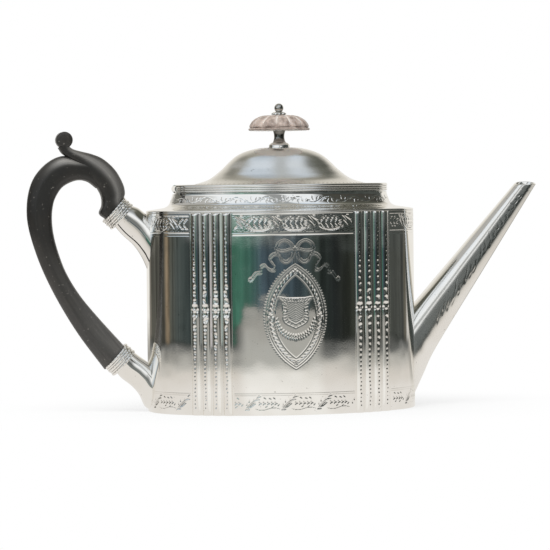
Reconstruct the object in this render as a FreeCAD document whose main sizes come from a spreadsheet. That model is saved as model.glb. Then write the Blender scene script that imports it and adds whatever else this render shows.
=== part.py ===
"""Oval silver teapot with a hinged domed lid, straight spout and carved wooden handle.

Millimetres. The origin is the centre of the base's underside, +X points to the spout,
-Y to the front and +Z up.
"""
import FreeCAD, Part
import Sketcher
import math
import os

Vector = FreeCAD.Vector
Rotation = FreeCAD.Rotation
Placement = FreeCAD.Placement

doc = FreeCAD.newDocument("teapot")
sheet = doc.addObject("Spreadsheet::Sheet", "Sizes")

DRIVING_SIZES = (
    # Body: a straight-sided oval drum drawn from two end arcs and two flatter side arcs
    ("body_half_length", 70.0),
    ("body_half_width", 46.0),
    ("body_end_radius", 34.0),
    ("body_height", 103.6),
    ("wall_gauge", 0.8),
    ("base_gauge", 0.9),
    # Reeds: groups of upright half-round ribs between the plain panels
    ("panel_half_width", 31.4),
    ("reed_count", 4),
    ("reed_width", 5.6),
    ("reed_rise", 0.7),
    # Strainer holes in the wall behind the spout
    ("strainer_hole_radius", 1.3),
    ("strainer_pitch", 5.0),
    ("strainer_rows", 6),
    ("strainer_foot", 13.0),
    # Shoulder: a nearly flat ledge, a hollow sweep and a short neck
    ("shoulder_flat", 9.6),
    ("shoulder_rise", 1.5),
    ("cavetto_radius", 4.2),
    ("neck_rise", 3.4),
    # Lid: a brim edged with reeded wire, an ogee dome and a strip that sits in the neck
    ("lid_gap", 0.3),
    ("rim_height", 3.9),
    ("rim_width", 1.6),
    ("rim_overhang", 0.4),
    ("rim_bead_rise", 0.25),
    ("brim_drop", 0.3),
    ("lid_gauge", 0.8),
    ("dome_half_length", 46.5),
    ("dome_width_ratio", 0.58),
    ("dome_height", 18.9),
    ("dome_hollow_radius", 20.0),
    ("dome_crown_radius", 25.3),
    ("dome_slope", 43.0),
    ("vent_radius", 1.0),
    ("vent_reach", 20.0),
    ("flange_clearance", 0.8),
    ("flange_gauge", 0.8),
    ("flange_depth", 8.3),
    # Hinge: three knuckles on one pin, set into the rim at the handle end
    ("knuckle_radius", 1.75),
    ("hinge_half_length", 7.0),
    ("lid_knuckle_half_length", 2.35),
    ("knuckle_gap", 0.15),
    ("hinge_inset", 2.4),
    ("hinge_pin_radius", 0.8),
    ("hinge_pin_clearance", 0.05),
    ("hinge_side_clearance", 0.3),
    ("hinge_relief_width", 3.6),
    ("hinge_relief_depth", 0.9),
    ("hinge_plate_depth", 7.0),
    ("hinge_plate_inset", 1.0),
    ("hinge_leaf_gauge", 0.8),
    ("hinge_leaf_length", 3.7),
    # Finial: pedestal, lobed knob, rosette and ball, held by one bolt
    ("bolt_radius", 1.2),
    ("bolt_clearance", 0.1),
    ("pedestal_foot_radius", 5.8),
    ("pedestal_foot_height", 1.6),
    ("pedestal_waist_radius", 2.9),
    ("pedestal_waist_height", 4.6),
    ("pedestal_sweep_radius", 3.2),
    ("pedestal_top_radius", 3.7),
    ("pedestal_height", 9.1),
    ("knob_radius", 16.0),
    ("knob_height", 8.0),
    ("knob_edge_height", 1.6),
    ("knob_top_radius", 5.0),
    ("knob_underside_radius", 12.0),
    ("knob_edge_radius", 4.0),
    ("knob_crown_radius", 9.95),
    ("knob_lobe_count", 12),
    ("knob_groove_radius", 1.2),
    ("knob_groove_depth", 0.6),
    ("rosette_radius", 3.7),
    ("rosette_height", 2.0),
    ("ball_radius", 2.4),
    ("ball_seat_radius", 1.7),
    ("washer_radius", 4.2),
    ("washer_gauge", 0.7),
    ("nut_radius", 3.4),
    ("nut_height", 2.2),
    ("bolt_end", 1.2),
    # Spout: a straight taper from the end of the body to a level lip
    ("spout_reach", 67.0),
    ("spout_height", 115.7),
    ("spout_lip_length", 11.4),
    ("spout_lip_width", 9.2),
    ("spout_root_top", 52.6),
    ("spout_knee_reach", 12.4),
    ("spout_knee_height", 31.3),
    ("spout_knee_width", 21.0),
    ("spout_root_foot", 2.6),
    ("spout_root_width", 25.0),
    ("spout_gauge", 0.8),
    # Handle sockets: tapered tubes with reeded collars
    ("socket_reach", 16.6),
    ("socket_slope", 42.0),
    ("upper_mouth_rise", 1.9),
    ("lower_mouth_height", 30.0),
    ("sleeve_radius", 6.4),
    ("socket_radius", 6.9),
    ("socket_waist_run", 14.0),
    ("socket_waist_drop", 1.6),
    ("socket_waist_half_height", 9.0),
    ("socket_waist_half_width", 7.4),
    ("upper_root_drop", 15.5),
    ("lower_root_height", 13.6),
    ("upper_root_half_height", 13.2),
    ("lower_root_half_height", 12.2),
    ("socket_root_half_width", 8.6),
    ("collar_length", 6.5),
    ("collar_bead_count", 4),
    ("collar_bead_rise", 0.45),
    ("collar_gauge", 0.5),
    ("tenon_radius", 4.5),
    ("tenon_length", 12.0),
    ("tenon_clearance", 0.1),
    ("handle_pin_radius", 1.0),
    ("handle_pin_depth", 9.2),
    # Handle: an ear-shaped loop of wood with a curled thumbpiece
    ("handle_lower_angle", 51.0),
    ("handle_back_radius", 20.6),
    ("handle_front_radius", 16.5),
    ("handle_front_turn", 80.0),
    ("handle_elbow_out", 1.6),
    ("handle_elbow_rise", 8.5),
    ("handle_lower_width", 14.4),
    ("handle_limb_width", 11.2),
    ("handle_back_width", 13.0),
    ("handle_arch_width", 15.0),
    ("handle_elbow_width", 13.4),
    ("handle_upper_width", 15.0),
    ("handle_section_ratio", 0.88),
    ("thumb_back", 6.8),
    ("thumb_rise", 13.3),
    ("thumb_radius", 4.2),
    ("thumb_half_width", 5.0),
    ("thumb_neck_width", 5.4),
    ("thumb_neck_spread", 1.5),
    ("thumb_round", 1.2),
)

for row, (alias, number) in enumerate(DRIVING_SIZES, start=1):
    sheet.set(f"A{row}", alias.replace("_", " "))
    sheet.set(f"B{row}", str(number))
    sheet.setAlias(f"B{row}", alias)
doc.recompute()


# Levels and insets that several pieces share, as expressions on the sheet
NECK_INSET = "(Sizes.shoulder_flat + Sizes.cavetto_radius)"
NECK_INNER_INSET = f"({NECK_INSET} + Sizes.wall_gauge)"
NECK_TOP = "(Sizes.body_height + Sizes.shoulder_rise + Sizes.cavetto_radius + Sizes.neck_rise)"
RIM_BOTTOM = f"({NECK_TOP} + Sizes.lid_gap)"
RIM_TOP = f"({RIM_BOTTOM} + Sizes.rim_height)"
RIM_OUTER_INSET = f"({NECK_INSET} - Sizes.rim_overhang)"
BRIM_INSET = f"({RIM_OUTER_INSET} + Sizes.rim_width)"
BRIM_TOP = f"({RIM_TOP} - Sizes.brim_drop)"
BRIM_BOTTOM = f"({BRIM_TOP} - Sizes.lid_gauge)"
DOME_TOP = f"({BRIM_TOP} + Sizes.dome_height)"
HINGE_X = f"(-(Sizes.body_half_length - {RIM_OUTER_INSET} - Sizes.hinge_inset))"
HINGE_Z = f"({BRIM_TOP} - Sizes.knuckle_radius)"
HINGE_CUT_X = f"({HINGE_X} + Sizes.knuckle_radius + Sizes.hinge_side_clearance)"
RELIEF_HALF = "(Sizes.hinge_half_length + Sizes.hinge_relief_width)"
HINGE_CUT_HALF = "(Sizes.hinge_half_length + Sizes.hinge_side_clearance)"
BOLT_BORE = "(Sizes.bolt_radius + Sizes.bolt_clearance)"
KNOB_BOTTOM = f"({DOME_TOP} + Sizes.pedestal_height)"
KNOB_TOP = f"({KNOB_BOTTOM} + Sizes.knob_height)"
ROSETTE_TOP = f"({KNOB_TOP} + Sizes.rosette_height)"
WALL_TOP = "(Sizes.body_height - Sizes.wall_gauge)"
WASHER_TOP = f"({DOME_TOP} - Sizes.lid_gauge)"
NUT_TOP = f"({WASHER_TOP} - Sizes.washer_gauge)"
NUT_BOTTOM = f"({NUT_TOP} - Sizes.nut_height)"
MOUTH_X = "(-(Sizes.body_half_length + Sizes.socket_reach))"
UPPER_MOUTH_Z = "(Sizes.body_height + Sizes.upper_mouth_rise)"
LOWER_MOUTH_Z = "Sizes.lower_mouth_height"
UPPER_ROOT_Z = "(Sizes.body_height - Sizes.upper_root_drop)"
LOWER_ROOT_Z = "Sizes.lower_root_height"

UP = Vector(0, 0, 1)
UPRIGHT = Rotation(Vector(1, 0, 0), 90)
ALONG_Y = Rotation(Vector(1, 0, 0), -90)
# Room past a face that a cutting solid needs to break through it
OVERCUT = 5.0
# Two points closer than this are one point
HALF_MICRON = 0.0005

parts = {}


def number_of(expression):
    return float(sheet.evalExpression(expression))


def size(alias):
    return number_of(f"Sizes.{alias}")


def finish(part, label):
    part.Label = label
    parts[label] = part
    return part


# Ovals and outlines

def oval_plan(inset):
    """Centres, radii and the meeting angle of the four arcs of the body's oval, drawn in by the inset."""
    end_radius = size("body_end_radius")
    end_centre = size("body_half_length") - end_radius
    half_width = size("body_half_width")
    side_radius = (end_centre ** 2 + half_width ** 2 - end_radius ** 2) / (2 * (half_width - end_radius))
    side_centre = side_radius - half_width
    meeting = math.atan2(side_centre, end_centre)
    return end_centre, end_radius - inset, side_centre, side_radius - inset, meeting


def arc_edge(centre, radius, start, end):
    circle = Part.Circle(centre, UP, radius)
    return Part.ArcOfCircle(circle, start, end).toShape()


def oval_wire(inset):
    """The oval as five arcs, starting and ending at the spout end."""
    end_centre, end_radius, side_centre, side_radius, meeting = oval_plan(inset)
    right = Vector(end_centre, 0, 0)
    left = Vector(-end_centre, 0, 0)
    return Part.Wire([
        arc_edge(right, end_radius, 0, meeting),
        arc_edge(Vector(0, -side_centre, 0), side_radius, meeting, math.pi - meeting),
        arc_edge(left, end_radius, math.pi - meeting, math.pi + meeting),
        arc_edge(Vector(0, side_centre, 0), side_radius, math.pi + meeting, 2 * math.pi - meeting),
        arc_edge(right, end_radius, 2 * math.pi - meeting, 2 * math.pi),
    ])


def reeded_side(centre, radius, middle, reach):
    """One long side of the oval: a plain panel with a group of reeds at each end of it."""
    panel = math.asin(size("panel_half_width") / radius)
    pitch = 2 * math.asin(size("reed_width") / (2 * radius))
    count = round(size("reed_count"))
    crown = radius + size("reed_rise")

    def point(angle, distance):
        return centre + Vector(math.cos(middle + angle), math.sin(middle + angle), 0) * distance

    def reeds(first):
        edges = []
        for index in range(count):
            start = first + index * pitch
            end = start + pitch
            arc = Part.Arc(point(start, radius), point(start + pitch / 2, crown), point(end, radius))
            edges.append(arc.toShape())
        return edges

    group = panel + count * pitch
    return (
        [arc_edge(centre, radius, middle - reach, middle - group)]
        + reeds(-group)
        + [arc_edge(centre, radius, middle - panel, middle + panel)]
        + reeds(panel)
        + [arc_edge(centre, radius, middle + group, middle + reach)]
    )


def reeded_wire():
    """The outside of the body: the oval with four groups of reeds standing proud of it."""
    end_centre, end_radius, side_centre, side_radius, meeting = oval_plan(0)
    reach = math.pi / 2 - meeting
    right_end = arc_edge(Vector(end_centre, 0, 0), end_radius, -meeting, meeting)
    left_end = arc_edge(Vector(-end_centre, 0, 0), end_radius, math.pi - meeting, math.pi + meeting)
    back = reeded_side(Vector(0, -side_centre, 0), side_radius, math.pi / 2, reach)
    front = reeded_side(Vector(0, side_centre, 0), side_radius, 3 * math.pi / 2, reach)
    return Part.Wire([right_end] + back + [left_end] + front)


def slab(name, wires, bottom, height):
    """A flat plan raised straight up; a second wire is a hole."""
    plan = doc.addObject("Part::Feature", name + "_plan")
    plan.Shape = Part.makeFace(wires, "Part::FaceMakerBullseye")
    plan.setExpression("Placement.Base.z", bottom)
    raised = doc.addObject("Part::Extrusion", name)
    raised.Base = plan
    raised.DirMode = "Custom"
    raised.Dir = UP
    raised.Solid = True
    raised.setExpression("LengthFwd", height)
    return raised


def draw_outline(sketch, corners):
    """A closed outline. Each corner is two expressions, and a third, the radius of an arc to the next
    corner, with its bulge to the right of the way round if positive and to the left if negative."""
    points = [Vector(number_of(corner[0]), number_of(corner[1]), 0) for corner in corners]
    ends = []
    for index, corner in enumerate(corners):
        start = points[index]
        finish_point = points[(index + 1) % len(points)]
        if len(corner) == 2:
            edge = sketch.addGeometry(Part.LineSegment(start, finish_point))
        else:
            radius = number_of(corner[2])
            chord = finish_point - start
            half = chord.Length / 2
            sideways = Vector(chord.y, -chord.x, 0).normalize()
            sagitta = abs(radius) - math.sqrt(radius ** 2 - half ** 2)
            middle = start + chord * 0.5 + sideways * math.copysign(sagitta, radius)
            edge = sketch.addGeometry(Part.Arc(start, middle, finish_point))
            sketch.addConstraint(Sketcher.Constraint("Radius", edge, abs(radius)))
            name = f"radius_{index}"
            sketch.renameConstraint(sketch.ConstraintCount - 1, name)
            sketch.setExpression(f"Constraints.{name}", f"abs({corner[2]})")
        first = 1 if sketch.getPoint(edge, 1).distanceToPoint(start) < HALF_MICRON else 2
        ends.append((edge, first, 3 - first))
    for index, corner in enumerate(corners):
        edge, first, _ = ends[index]
        before, _, last = ends[index - 1]
        sketch.addConstraint(Sketcher.Constraint("Coincident", before, last, edge, first))
        for kind, axis, value, expression in (
            ("DistanceX", -2, points[index].x, corner[0]),
            ("DistanceY", -1, points[index].y, corner[1]),
        ):
            if abs(value) < HALF_MICRON:
                sketch.addConstraint(Sketcher.Constraint("PointOnObject", edge, first, axis))
                continue
            sketch.addConstraint(Sketcher.Constraint(kind, -1, 1, edge, first, value))
            name = f"{kind.lower()}_{index}"
            sketch.renameConstraint(sketch.ConstraintCount - 1, name)
            sketch.setExpression(f"Constraints.{name}", expression)


def turned(name, corners):
    """A body turned about its own Z axis from an outline of radius and height."""
    body = doc.addObject("PartDesign::Body", name)
    sketch = body.newObject("Sketcher::SketchObject", name + "_outline")
    plane = next(plane for plane in body.Origin.OriginFeatures if plane.Role == "XZ_Plane")
    sketch.AttachmentSupport = [(plane, "")]
    sketch.MapMode = "FlatFace"
    draw_outline(sketch, corners)
    spin = body.newObject("PartDesign::Revolution", name + "_spin")
    spin.Profile = sketch
    spin.ReferenceAxis = (sketch, ["V_Axis"])
    spin.Angle = 360
    return body


def swept_round_oval(name, corners):
    """A ring whose outline, drawn at the spout end, is carried round the body's oval."""
    sketch = doc.addObject("Sketcher::SketchObject", name + "_outline")
    sketch.Placement = Placement(Vector(0, 0, 0), UPRIGHT)
    draw_outline(sketch, corners)
    path = doc.addObject("Part::Feature", name + "_path")
    path.Shape = oval_wire(0)
    ring = doc.addObject("Part::Sweep", name)
    ring.Sections = [sketch]
    ring.Spine = (path, [f"Edge{index}" for index in range(1, len(path.Shape.Edges) + 1)])
    ring.Solid = True
    ring.Frenet = True
    return ring


def from_end(inset):
    """Distance along X of the oval's spout end, drawn in by an inset."""
    return f"Sizes.body_half_length - ({inset})"


def cut(name, base, tool):
    result = doc.addObject("Part::Cut", name)
    result.Base = base
    result.Tool = tool
    return result


def fuse(name, pieces):
    result = doc.addObject("Part::MultiFuse", name)
    result.Shapes = pieces
    result.Refine = True
    return result


def common(name, base, tool):
    result = doc.addObject("Part::Common", name)
    result.Base = base
    result.Tool = tool
    return result


def block(name, low, high):
    """A box between two corners, each three expressions."""
    box = doc.addObject("Part::Box", name)
    for axis, side, bottom, top in zip("xyz", ("Length", "Width", "Height"), low, high):
        box.setExpression(f"Placement.Base.{axis}", bottom)
        box.setExpression(side, f"({top}) - ({bottom})")
    return box


def rod_along_y(name, x, z, radius, start, end):
    rod = doc.addObject("Part::Cylinder", name)
    rod.Placement = Placement(Vector(0, 0, 0), ALONG_Y)
    rod.setExpression("Placement.Base.x", x)
    rod.setExpression("Placement.Base.y", start)
    rod.setExpression("Placement.Base.z", z)
    rod.setExpression("Radius", radius)
    rod.setExpression("Height", f"({end}) - ({start})")
    return rod


def upright_rod(name, x, radius, bottom, top):
    rod = doc.addObject("Part::Cylinder", name)
    rod.setExpression("Placement.Base.x", x)
    rod.setExpression("Placement.Base.z", bottom)
    rod.setExpression("Radius", radius)
    rod.setExpression("Height", f"({top}) - ({bottom})")
    return rod


def section(centre, across, half_across, half_side):
    """An ellipse square to the middle plane: across is its in-plane direction, Y the other."""
    side = Vector(0, 1, 0)
    facing = across.cross(side)
    matrix = FreeCAD.Matrix(
        across.x * half_across, side.x * half_side, facing.x, centre.x,
        across.y * half_across, side.y * half_side, facing.y, centre.y,
        across.z * half_across, side.z * half_side, facing.z, centre.z,
        0, 0, 0, 1)
    ring = Part.Circle(Vector(0, 0, 0), UP, 1).toShape().transformGeometry(matrix)
    return Part.Wire(ring.Edges)


def section_between(upper, lower, half_side, inset=0.0):
    centre = (upper + lower) * 0.5
    across = (lower - upper).normalize()
    half_across = (lower - upper).Length / 2
    return section(centre, across, half_across - inset, half_side - inset)


def lofted(name, sections):
    solid = doc.addObject("Part::Feature", name)
    solid.Shape = Part.makeLoft(sections, True, False)
    return solid


def flat_point(x, z):
    return Vector(x, 0, z)


# Base plate and reeded wall

base_plate = slab("base_plate", [reeded_wire()], "0", "Sizes.base_gauge")
finish(base_plate, "base_plate")

plain_wall = slab("plain_wall", [reeded_wire(), oval_wire(size("wall_gauge"))],
                  "Sizes.base_gauge", f"{WALL_TOP} - Sizes.base_gauge")
strainer_pitch = size("strainer_pitch")
drill_length = size("wall_gauge") + 2 * OVERCUT
drill_start = size("body_half_length") - size("wall_gauge") - OVERCUT
drills = []
for row in range(round(size("strainer_rows"))):
    columns = (-1, 0, 1) if row % 2 == 0 else (-1.5, -0.5, 0.5, 1.5)
    level = size("strainer_foot") + row * strainer_pitch
    for column in columns:
        start = Vector(drill_start, column * strainer_pitch, level)
        drills.append(Part.makeCylinder(size("strainer_hole_radius"), drill_length, start, Vector(1, 0, 0)))
strainer = doc.addObject("Part::Feature", "strainer_drills")
strainer.Shape = Part.makeCompound(drills)
finish(cut("body_wall", plain_wall, strainer), "body_wall")

# The column inside the body's oval trims whatever is soldered on from outside
body_column = slab("body_column", [oval_wire(0)], "0", RIM_TOP)

# Shoulder: ledge, hollow sweep and neck, relieved at the handle end for the lid's hinge

whole_shoulder = swept_round_oval("whole_shoulder", [
    (from_end("0"), WALL_TOP),
    (from_end("0"), "Sizes.body_height"),
    (from_end("Sizes.shoulder_flat"), "Sizes.body_height + Sizes.shoulder_rise", "-Sizes.cavetto_radius"),
    (from_end(NECK_INSET), f"{NECK_TOP} - Sizes.neck_rise"),
    (from_end(NECK_INSET), NECK_TOP),
    (from_end(NECK_INNER_INSET), NECK_TOP),
    (from_end(NECK_INNER_INSET), f"{NECK_TOP} - Sizes.neck_rise",
     "Sizes.cavetto_radius + Sizes.wall_gauge"),
    (from_end("Sizes.shoulder_flat"), f"{WALL_TOP} + Sizes.shoulder_rise"),
])
hinge_relief = block("hinge_relief",
                     ("-Sizes.body_half_length", f"-{RELIEF_HALF}",
                      f"{RIM_BOTTOM} - Sizes.hinge_relief_depth"),
                     (HINGE_CUT_X, RELIEF_HALF, RIM_TOP))
finish(cut("shoulder", whole_shoulder, hinge_relief), "shoulder")

# Lid: brim and dome of one sheet, reeded rim wire and locating strip

bead_height = "Sizes.rim_height / 3"
bead_radius = "((Sizes.rim_height / 6) ^ 2 + Sizes.rim_bead_rise ^ 2) / (2 * Sizes.rim_bead_rise)"
bead_root = from_end(f"{RIM_OUTER_INSET} + Sizes.rim_bead_rise")
whole_rim = swept_round_oval("whole_rim", [
    (bead_root, RIM_BOTTOM, bead_radius),
    (bead_root, f"{RIM_BOTTOM} + {bead_height}", bead_radius),
    (bead_root, f"{RIM_BOTTOM} + 2 * {bead_height}", bead_radius),
    (bead_root, RIM_TOP),
    (from_end(BRIM_INSET), RIM_TOP),
    (from_end(BRIM_INSET), RIM_BOTTOM),
])
lid_hinge_notch = block("lid_hinge_notch",
                        ("-Sizes.body_half_length", f"-{HINGE_CUT_HALF}", NECK_TOP),
                        (HINGE_CUT_X, HINGE_CUT_HALF, DOME_TOP))
finish(cut("lid_rim", whole_rim, lid_hinge_notch), "lid_rim")

hollow_run = "Sizes.dome_hollow_radius * sin(Sizes.dome_slope)"
hollow_rise = "Sizes.dome_hollow_radius * (1 - cos(Sizes.dome_slope))"
crown_run = "Sizes.dome_crown_radius * sin(Sizes.dome_slope)"
crown_rise = "Sizes.dome_crown_radius * (1 - cos(Sizes.dome_slope))"
straight_run = f"(Sizes.dome_height - {hollow_rise} - {crown_rise}) / tan(Sizes.dome_slope)"
crown_foot = f"(Sizes.dome_half_length - {hollow_run} - {straight_run})"
crown_top = f"({crown_foot} - {crown_run})"
gauge_run = "Sizes.lid_gauge * sin(Sizes.dome_slope)"
gauge_drop = "Sizes.lid_gauge * cos(Sizes.dome_slope)"
round_dome = turned("round_dome", [
    ("Sizes.body_half_length", BRIM_BOTTOM),
    ("Sizes.body_half_length", BRIM_TOP),
    ("Sizes.dome_half_length", BRIM_TOP, "-Sizes.dome_hollow_radius"),
    (f"Sizes.dome_half_length - {hollow_run}", f"{BRIM_TOP} + {hollow_rise}"),
    (crown_foot, f"{DOME_TOP} - {crown_rise}", "Sizes.dome_crown_radius"),
    (crown_top, DOME_TOP),
    ("0", DOME_TOP),
    ("0", WASHER_TOP),
    (crown_top, WASHER_TOP, "-(Sizes.dome_crown_radius - Sizes.lid_gauge)"),
    (f"{crown_foot} - {gauge_run}", f"{DOME_TOP} - {crown_rise} - {gauge_drop}"),
    (f"Sizes.dome_half_length - {hollow_run} - {gauge_run}", f"{BRIM_TOP} + {hollow_rise} - {gauge_drop}",
     "Sizes.dome_hollow_radius + Sizes.lid_gauge"),
    ("Sizes.dome_half_length", BRIM_BOTTOM),
])
oval_dome = doc.addObject("Part::Scale", "oval_dome")
oval_dome.Base = round_dome
oval_dome.Uniform = False
oval_dome.setExpression("YScale", "Sizes.dome_width_ratio")
brim_column = slab("brim_column", [oval_wire(number_of(BRIM_INSET))],
                   NECK_TOP, f"{KNOB_BOTTOM} - {NECK_TOP}")
trimmed_dome = common("trimmed_dome", oval_dome, brim_column)
notched_dome = cut("notched_dome", trimmed_dome, lid_hinge_notch)
bolt_hole = upright_rod("dome_bolt_hole", "0", BOLT_BORE, NUT_BOTTOM, KNOB_BOTTOM)
vent_hole = upright_rod("vent_hole", "-Sizes.vent_reach", "Sizes.vent_radius", BRIM_TOP, KNOB_BOTTOM)
finish(cut("lid_dome", notched_dome, fuse("dome_holes", [bolt_hole, vent_hole])), "lid_dome")

flange_inset = number_of(f"{NECK_INNER_INSET} + Sizes.flange_clearance")
flange_outside = oval_wire(flange_inset)
flange_inside = oval_wire(flange_inset + size("flange_gauge"))
whole_flange = slab("whole_flange", [flange_outside, flange_inside],
                    f"{BRIM_BOTTOM} - Sizes.flange_depth", "Sizes.flange_depth")
flange_gap = block("flange_gap",
                   ("-Sizes.body_half_length", f"-{RELIEF_HALF}", WALL_TOP),
                   (f"{HINGE_X} + Sizes.hinge_leaf_length", RELIEF_HALF, DOME_TOP))
finish(cut("lid_flange", whole_flange, flange_gap), "lid_flange")

# Hinge: two knuckles and a plate on the neck, one knuckle and a leaf on the lid, one pin

knuckle_bottom = f"({HINGE_Z} - Sizes.knuckle_radius)"
plate_top = f"({knuckle_bottom} - Sizes.hinge_side_clearance)"
plate_face = f"({HINGE_X} + Sizes.hinge_plate_inset)"
web_bottom = f"({plate_top} - Sizes.wall_gauge)"
body_knuckle_start = "(Sizes.lid_knuckle_half_length + Sizes.knuckle_gap)"
neck_column = slab("neck_column", [oval_wire(number_of(NECK_INNER_INSET))],
                   WALL_TOP, f"{RIM_TOP} - {WALL_TOP}")
hinge_plate = block("hinge_plate",
                    ("-Sizes.body_half_length", "-Sizes.hinge_half_length",
                     f"{plate_top} - Sizes.hinge_plate_depth"),
                    (plate_face, "Sizes.hinge_half_length", plate_top))
front_web = block("front_web",
                  ("-Sizes.body_half_length", "-Sizes.hinge_half_length", web_bottom),
                  (plate_face, f"-{body_knuckle_start}", HINGE_Z))
back_web = block("back_web",
                 ("-Sizes.body_half_length", body_knuckle_start, web_bottom),
                 (plate_face, "Sizes.hinge_half_length", HINGE_Z))
seat = common("hinge_seat", fuse("hinge_seat_block", [hinge_plate, front_web, back_web]), neck_column)
front_knuckle = rod_along_y("front_knuckle", HINGE_X, HINGE_Z, "Sizes.knuckle_radius",
                            "-Sizes.hinge_half_length", f"-{body_knuckle_start}")
back_knuckle = rod_along_y("back_knuckle", HINGE_X, HINGE_Z, "Sizes.knuckle_radius",
                           body_knuckle_start, "Sizes.hinge_half_length")
hinge_bore = rod_along_y("hinge_bore", HINGE_X, HINGE_Z,
                         "Sizes.hinge_pin_radius + Sizes.hinge_pin_clearance",
                         f"-{HINGE_CUT_HALF}", HINGE_CUT_HALF)
solid_body_hinge = fuse("solid_body_hinge", [seat, front_knuckle, back_knuckle])
finish(cut("hinge_body_knuckles", solid_body_hinge, hinge_bore), "hinge_body_knuckles")

lid_knuckle = rod_along_y("lid_knuckle", HINGE_X, HINGE_Z, "Sizes.knuckle_radius",
                          "-Sizes.lid_knuckle_half_length", "Sizes.lid_knuckle_half_length")
lid_leaf = block("lid_leaf",
                 (HINGE_X, "-Sizes.lid_knuckle_half_length", f"{BRIM_BOTTOM} - Sizes.hinge_leaf_gauge"),
                 (f"{HINGE_X} + Sizes.hinge_leaf_length", "Sizes.lid_knuckle_half_length", BRIM_BOTTOM))
solid_lid_hinge = fuse("solid_lid_hinge", [lid_knuckle, lid_leaf])
finish(cut("hinge_lid_knuckle", solid_lid_hinge, hinge_bore), "hinge_lid_knuckle")

hinge_pin = rod_along_y("hinge_pin", HINGE_X, HINGE_Z, "Sizes.hinge_pin_radius",
                        "-Sizes.hinge_half_length", "Sizes.hinge_half_length")
finish(hinge_pin, "hinge_pin")

# Finial: every piece is turned and threaded on the bolt

finish(turned("finial_pedestal", [
    (BOLT_BORE, DOME_TOP),
    ("Sizes.pedestal_foot_radius", DOME_TOP),
    ("Sizes.pedestal_foot_radius", f"{DOME_TOP} + Sizes.pedestal_foot_height",
     "-Sizes.pedestal_sweep_radius"),
    ("Sizes.pedestal_waist_radius", f"{DOME_TOP} + Sizes.pedestal_waist_height"),
    ("Sizes.pedestal_top_radius", KNOB_BOTTOM),
    (BOLT_BORE, KNOB_BOTTOM),
]), "finial_pedestal")

knob_edge = f"{KNOB_BOTTOM} + Sizes.knob_edge_height"
plain_knob = turned("plain_knob", [
    (BOLT_BORE, KNOB_BOTTOM),
    ("Sizes.knob_underside_radius", KNOB_BOTTOM, "Sizes.knob_edge_radius"),
    ("Sizes.knob_radius", knob_edge, "Sizes.knob_crown_radius"),
    ("Sizes.knob_top_radius", KNOB_TOP),
    (BOLT_BORE, KNOB_TOP),
])
knob_crown_run = size("knob_top_radius") - size("knob_radius")
crown_chord = Vector(knob_crown_run, number_of(f"{KNOB_TOP} - ({knob_edge})"), 0)
crown_middle = Vector(size("knob_radius"), number_of(knob_edge), 0) + crown_chord * 0.5
crown_inward = Vector(-crown_chord.y, crown_chord.x, 0).normalize()
crown_centre_depth = math.sqrt(size("knob_crown_radius") ** 2 - (crown_chord.Length / 2) ** 2)
crown_centre = crown_middle + crown_inward * crown_centre_depth
groove_path_radius = size("knob_crown_radius") + size("knob_groove_radius") - size("knob_groove_depth")
lobe_count = round(size("knob_lobe_count"))
groove_rings = []
for index in range(lobe_count):
    turn = 2 * math.pi * index / lobe_count
    outward = Vector(math.cos(turn), math.sin(turn), 0)
    ring_centre = outward * crown_centre.x + UP * crown_centre.y
    ring = Part.makeTorus(groove_path_radius, size("knob_groove_radius"), ring_centre, UP.cross(outward))
    groove_rings.append(ring)
knob_core = Part.makeCylinder(size("knob_top_radius"), number_of(KNOB_TOP))
knob_core.translate(UP * OVERCUT)
knob_grooves = doc.addObject("Part::Feature", "knob_grooves")
knob_grooves.Shape = Part.makeCompound([ring.cut(knob_core) for ring in groove_rings])
finish(cut("finial_knob", plain_knob, knob_grooves), "finial_knob")

finish(turned("finial_rosette", [
    (BOLT_BORE, KNOB_TOP),
    ("Sizes.rosette_radius", KNOB_TOP, "Sizes.rosette_radius"),
    ("Sizes.ball_seat_radius", ROSETTE_TOP),
    (BOLT_BORE, ROSETTE_TOP),
]), "finial_rosette")

ball_centre = f"({ROSETTE_TOP} + sqrt(Sizes.ball_radius ^ 2 - Sizes.ball_seat_radius ^ 2))"
finish(turned("finial_bolt", [
    ("0", f"{NUT_BOTTOM} - Sizes.bolt_end"),
    ("Sizes.bolt_radius", f"{NUT_BOTTOM} - Sizes.bolt_end"),
    ("Sizes.bolt_radius", ROSETTE_TOP),
    ("Sizes.ball_seat_radius", ROSETTE_TOP, "Sizes.ball_radius"),
    ("Sizes.ball_radius", ball_centre, "Sizes.ball_radius"),
    ("0", f"{ball_centre} + Sizes.ball_radius"),
]), "finial_bolt")

finish(turned("finial_washer", [
    (BOLT_BORE, NUT_TOP),
    ("Sizes.washer_radius", NUT_TOP),
    ("Sizes.washer_radius", WASHER_TOP),
    (BOLT_BORE, WASHER_TOP),
]), "finial_washer")

solid_nut = doc.addObject("Part::Prism", "solid_nut")
solid_nut.Polygon = 4
solid_nut.setExpression("Circumradius", "Sizes.nut_radius")
solid_nut.setExpression("Height", "Sizes.nut_height")
solid_nut.setExpression("Placement.Base.z", NUT_BOTTOM)
finish(cut("finial_nut", solid_nut, bolt_hole), "finial_nut")

# Spout: sections are set by the straight upper edge and the lower edge, which eases out at its foot

body_end = size("body_half_length")
lip_level = size("spout_height")
lip_lower = flat_point(body_end + size("spout_reach"), lip_level)
lip_upper = flat_point(lip_lower.x - size("spout_lip_length"), lip_level)
knee_lower = flat_point(body_end + size("spout_knee_reach"), size("spout_knee_height"))
knee_upper = flat_point(body_end, size("spout_root_top"))
root_lower = flat_point(body_end - OVERCUT, size("spout_root_foot"))
upper_line = (knee_upper - lip_upper).normalize()
root_upper = knee_upper + upper_line * 2 * OVERCUT


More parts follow.
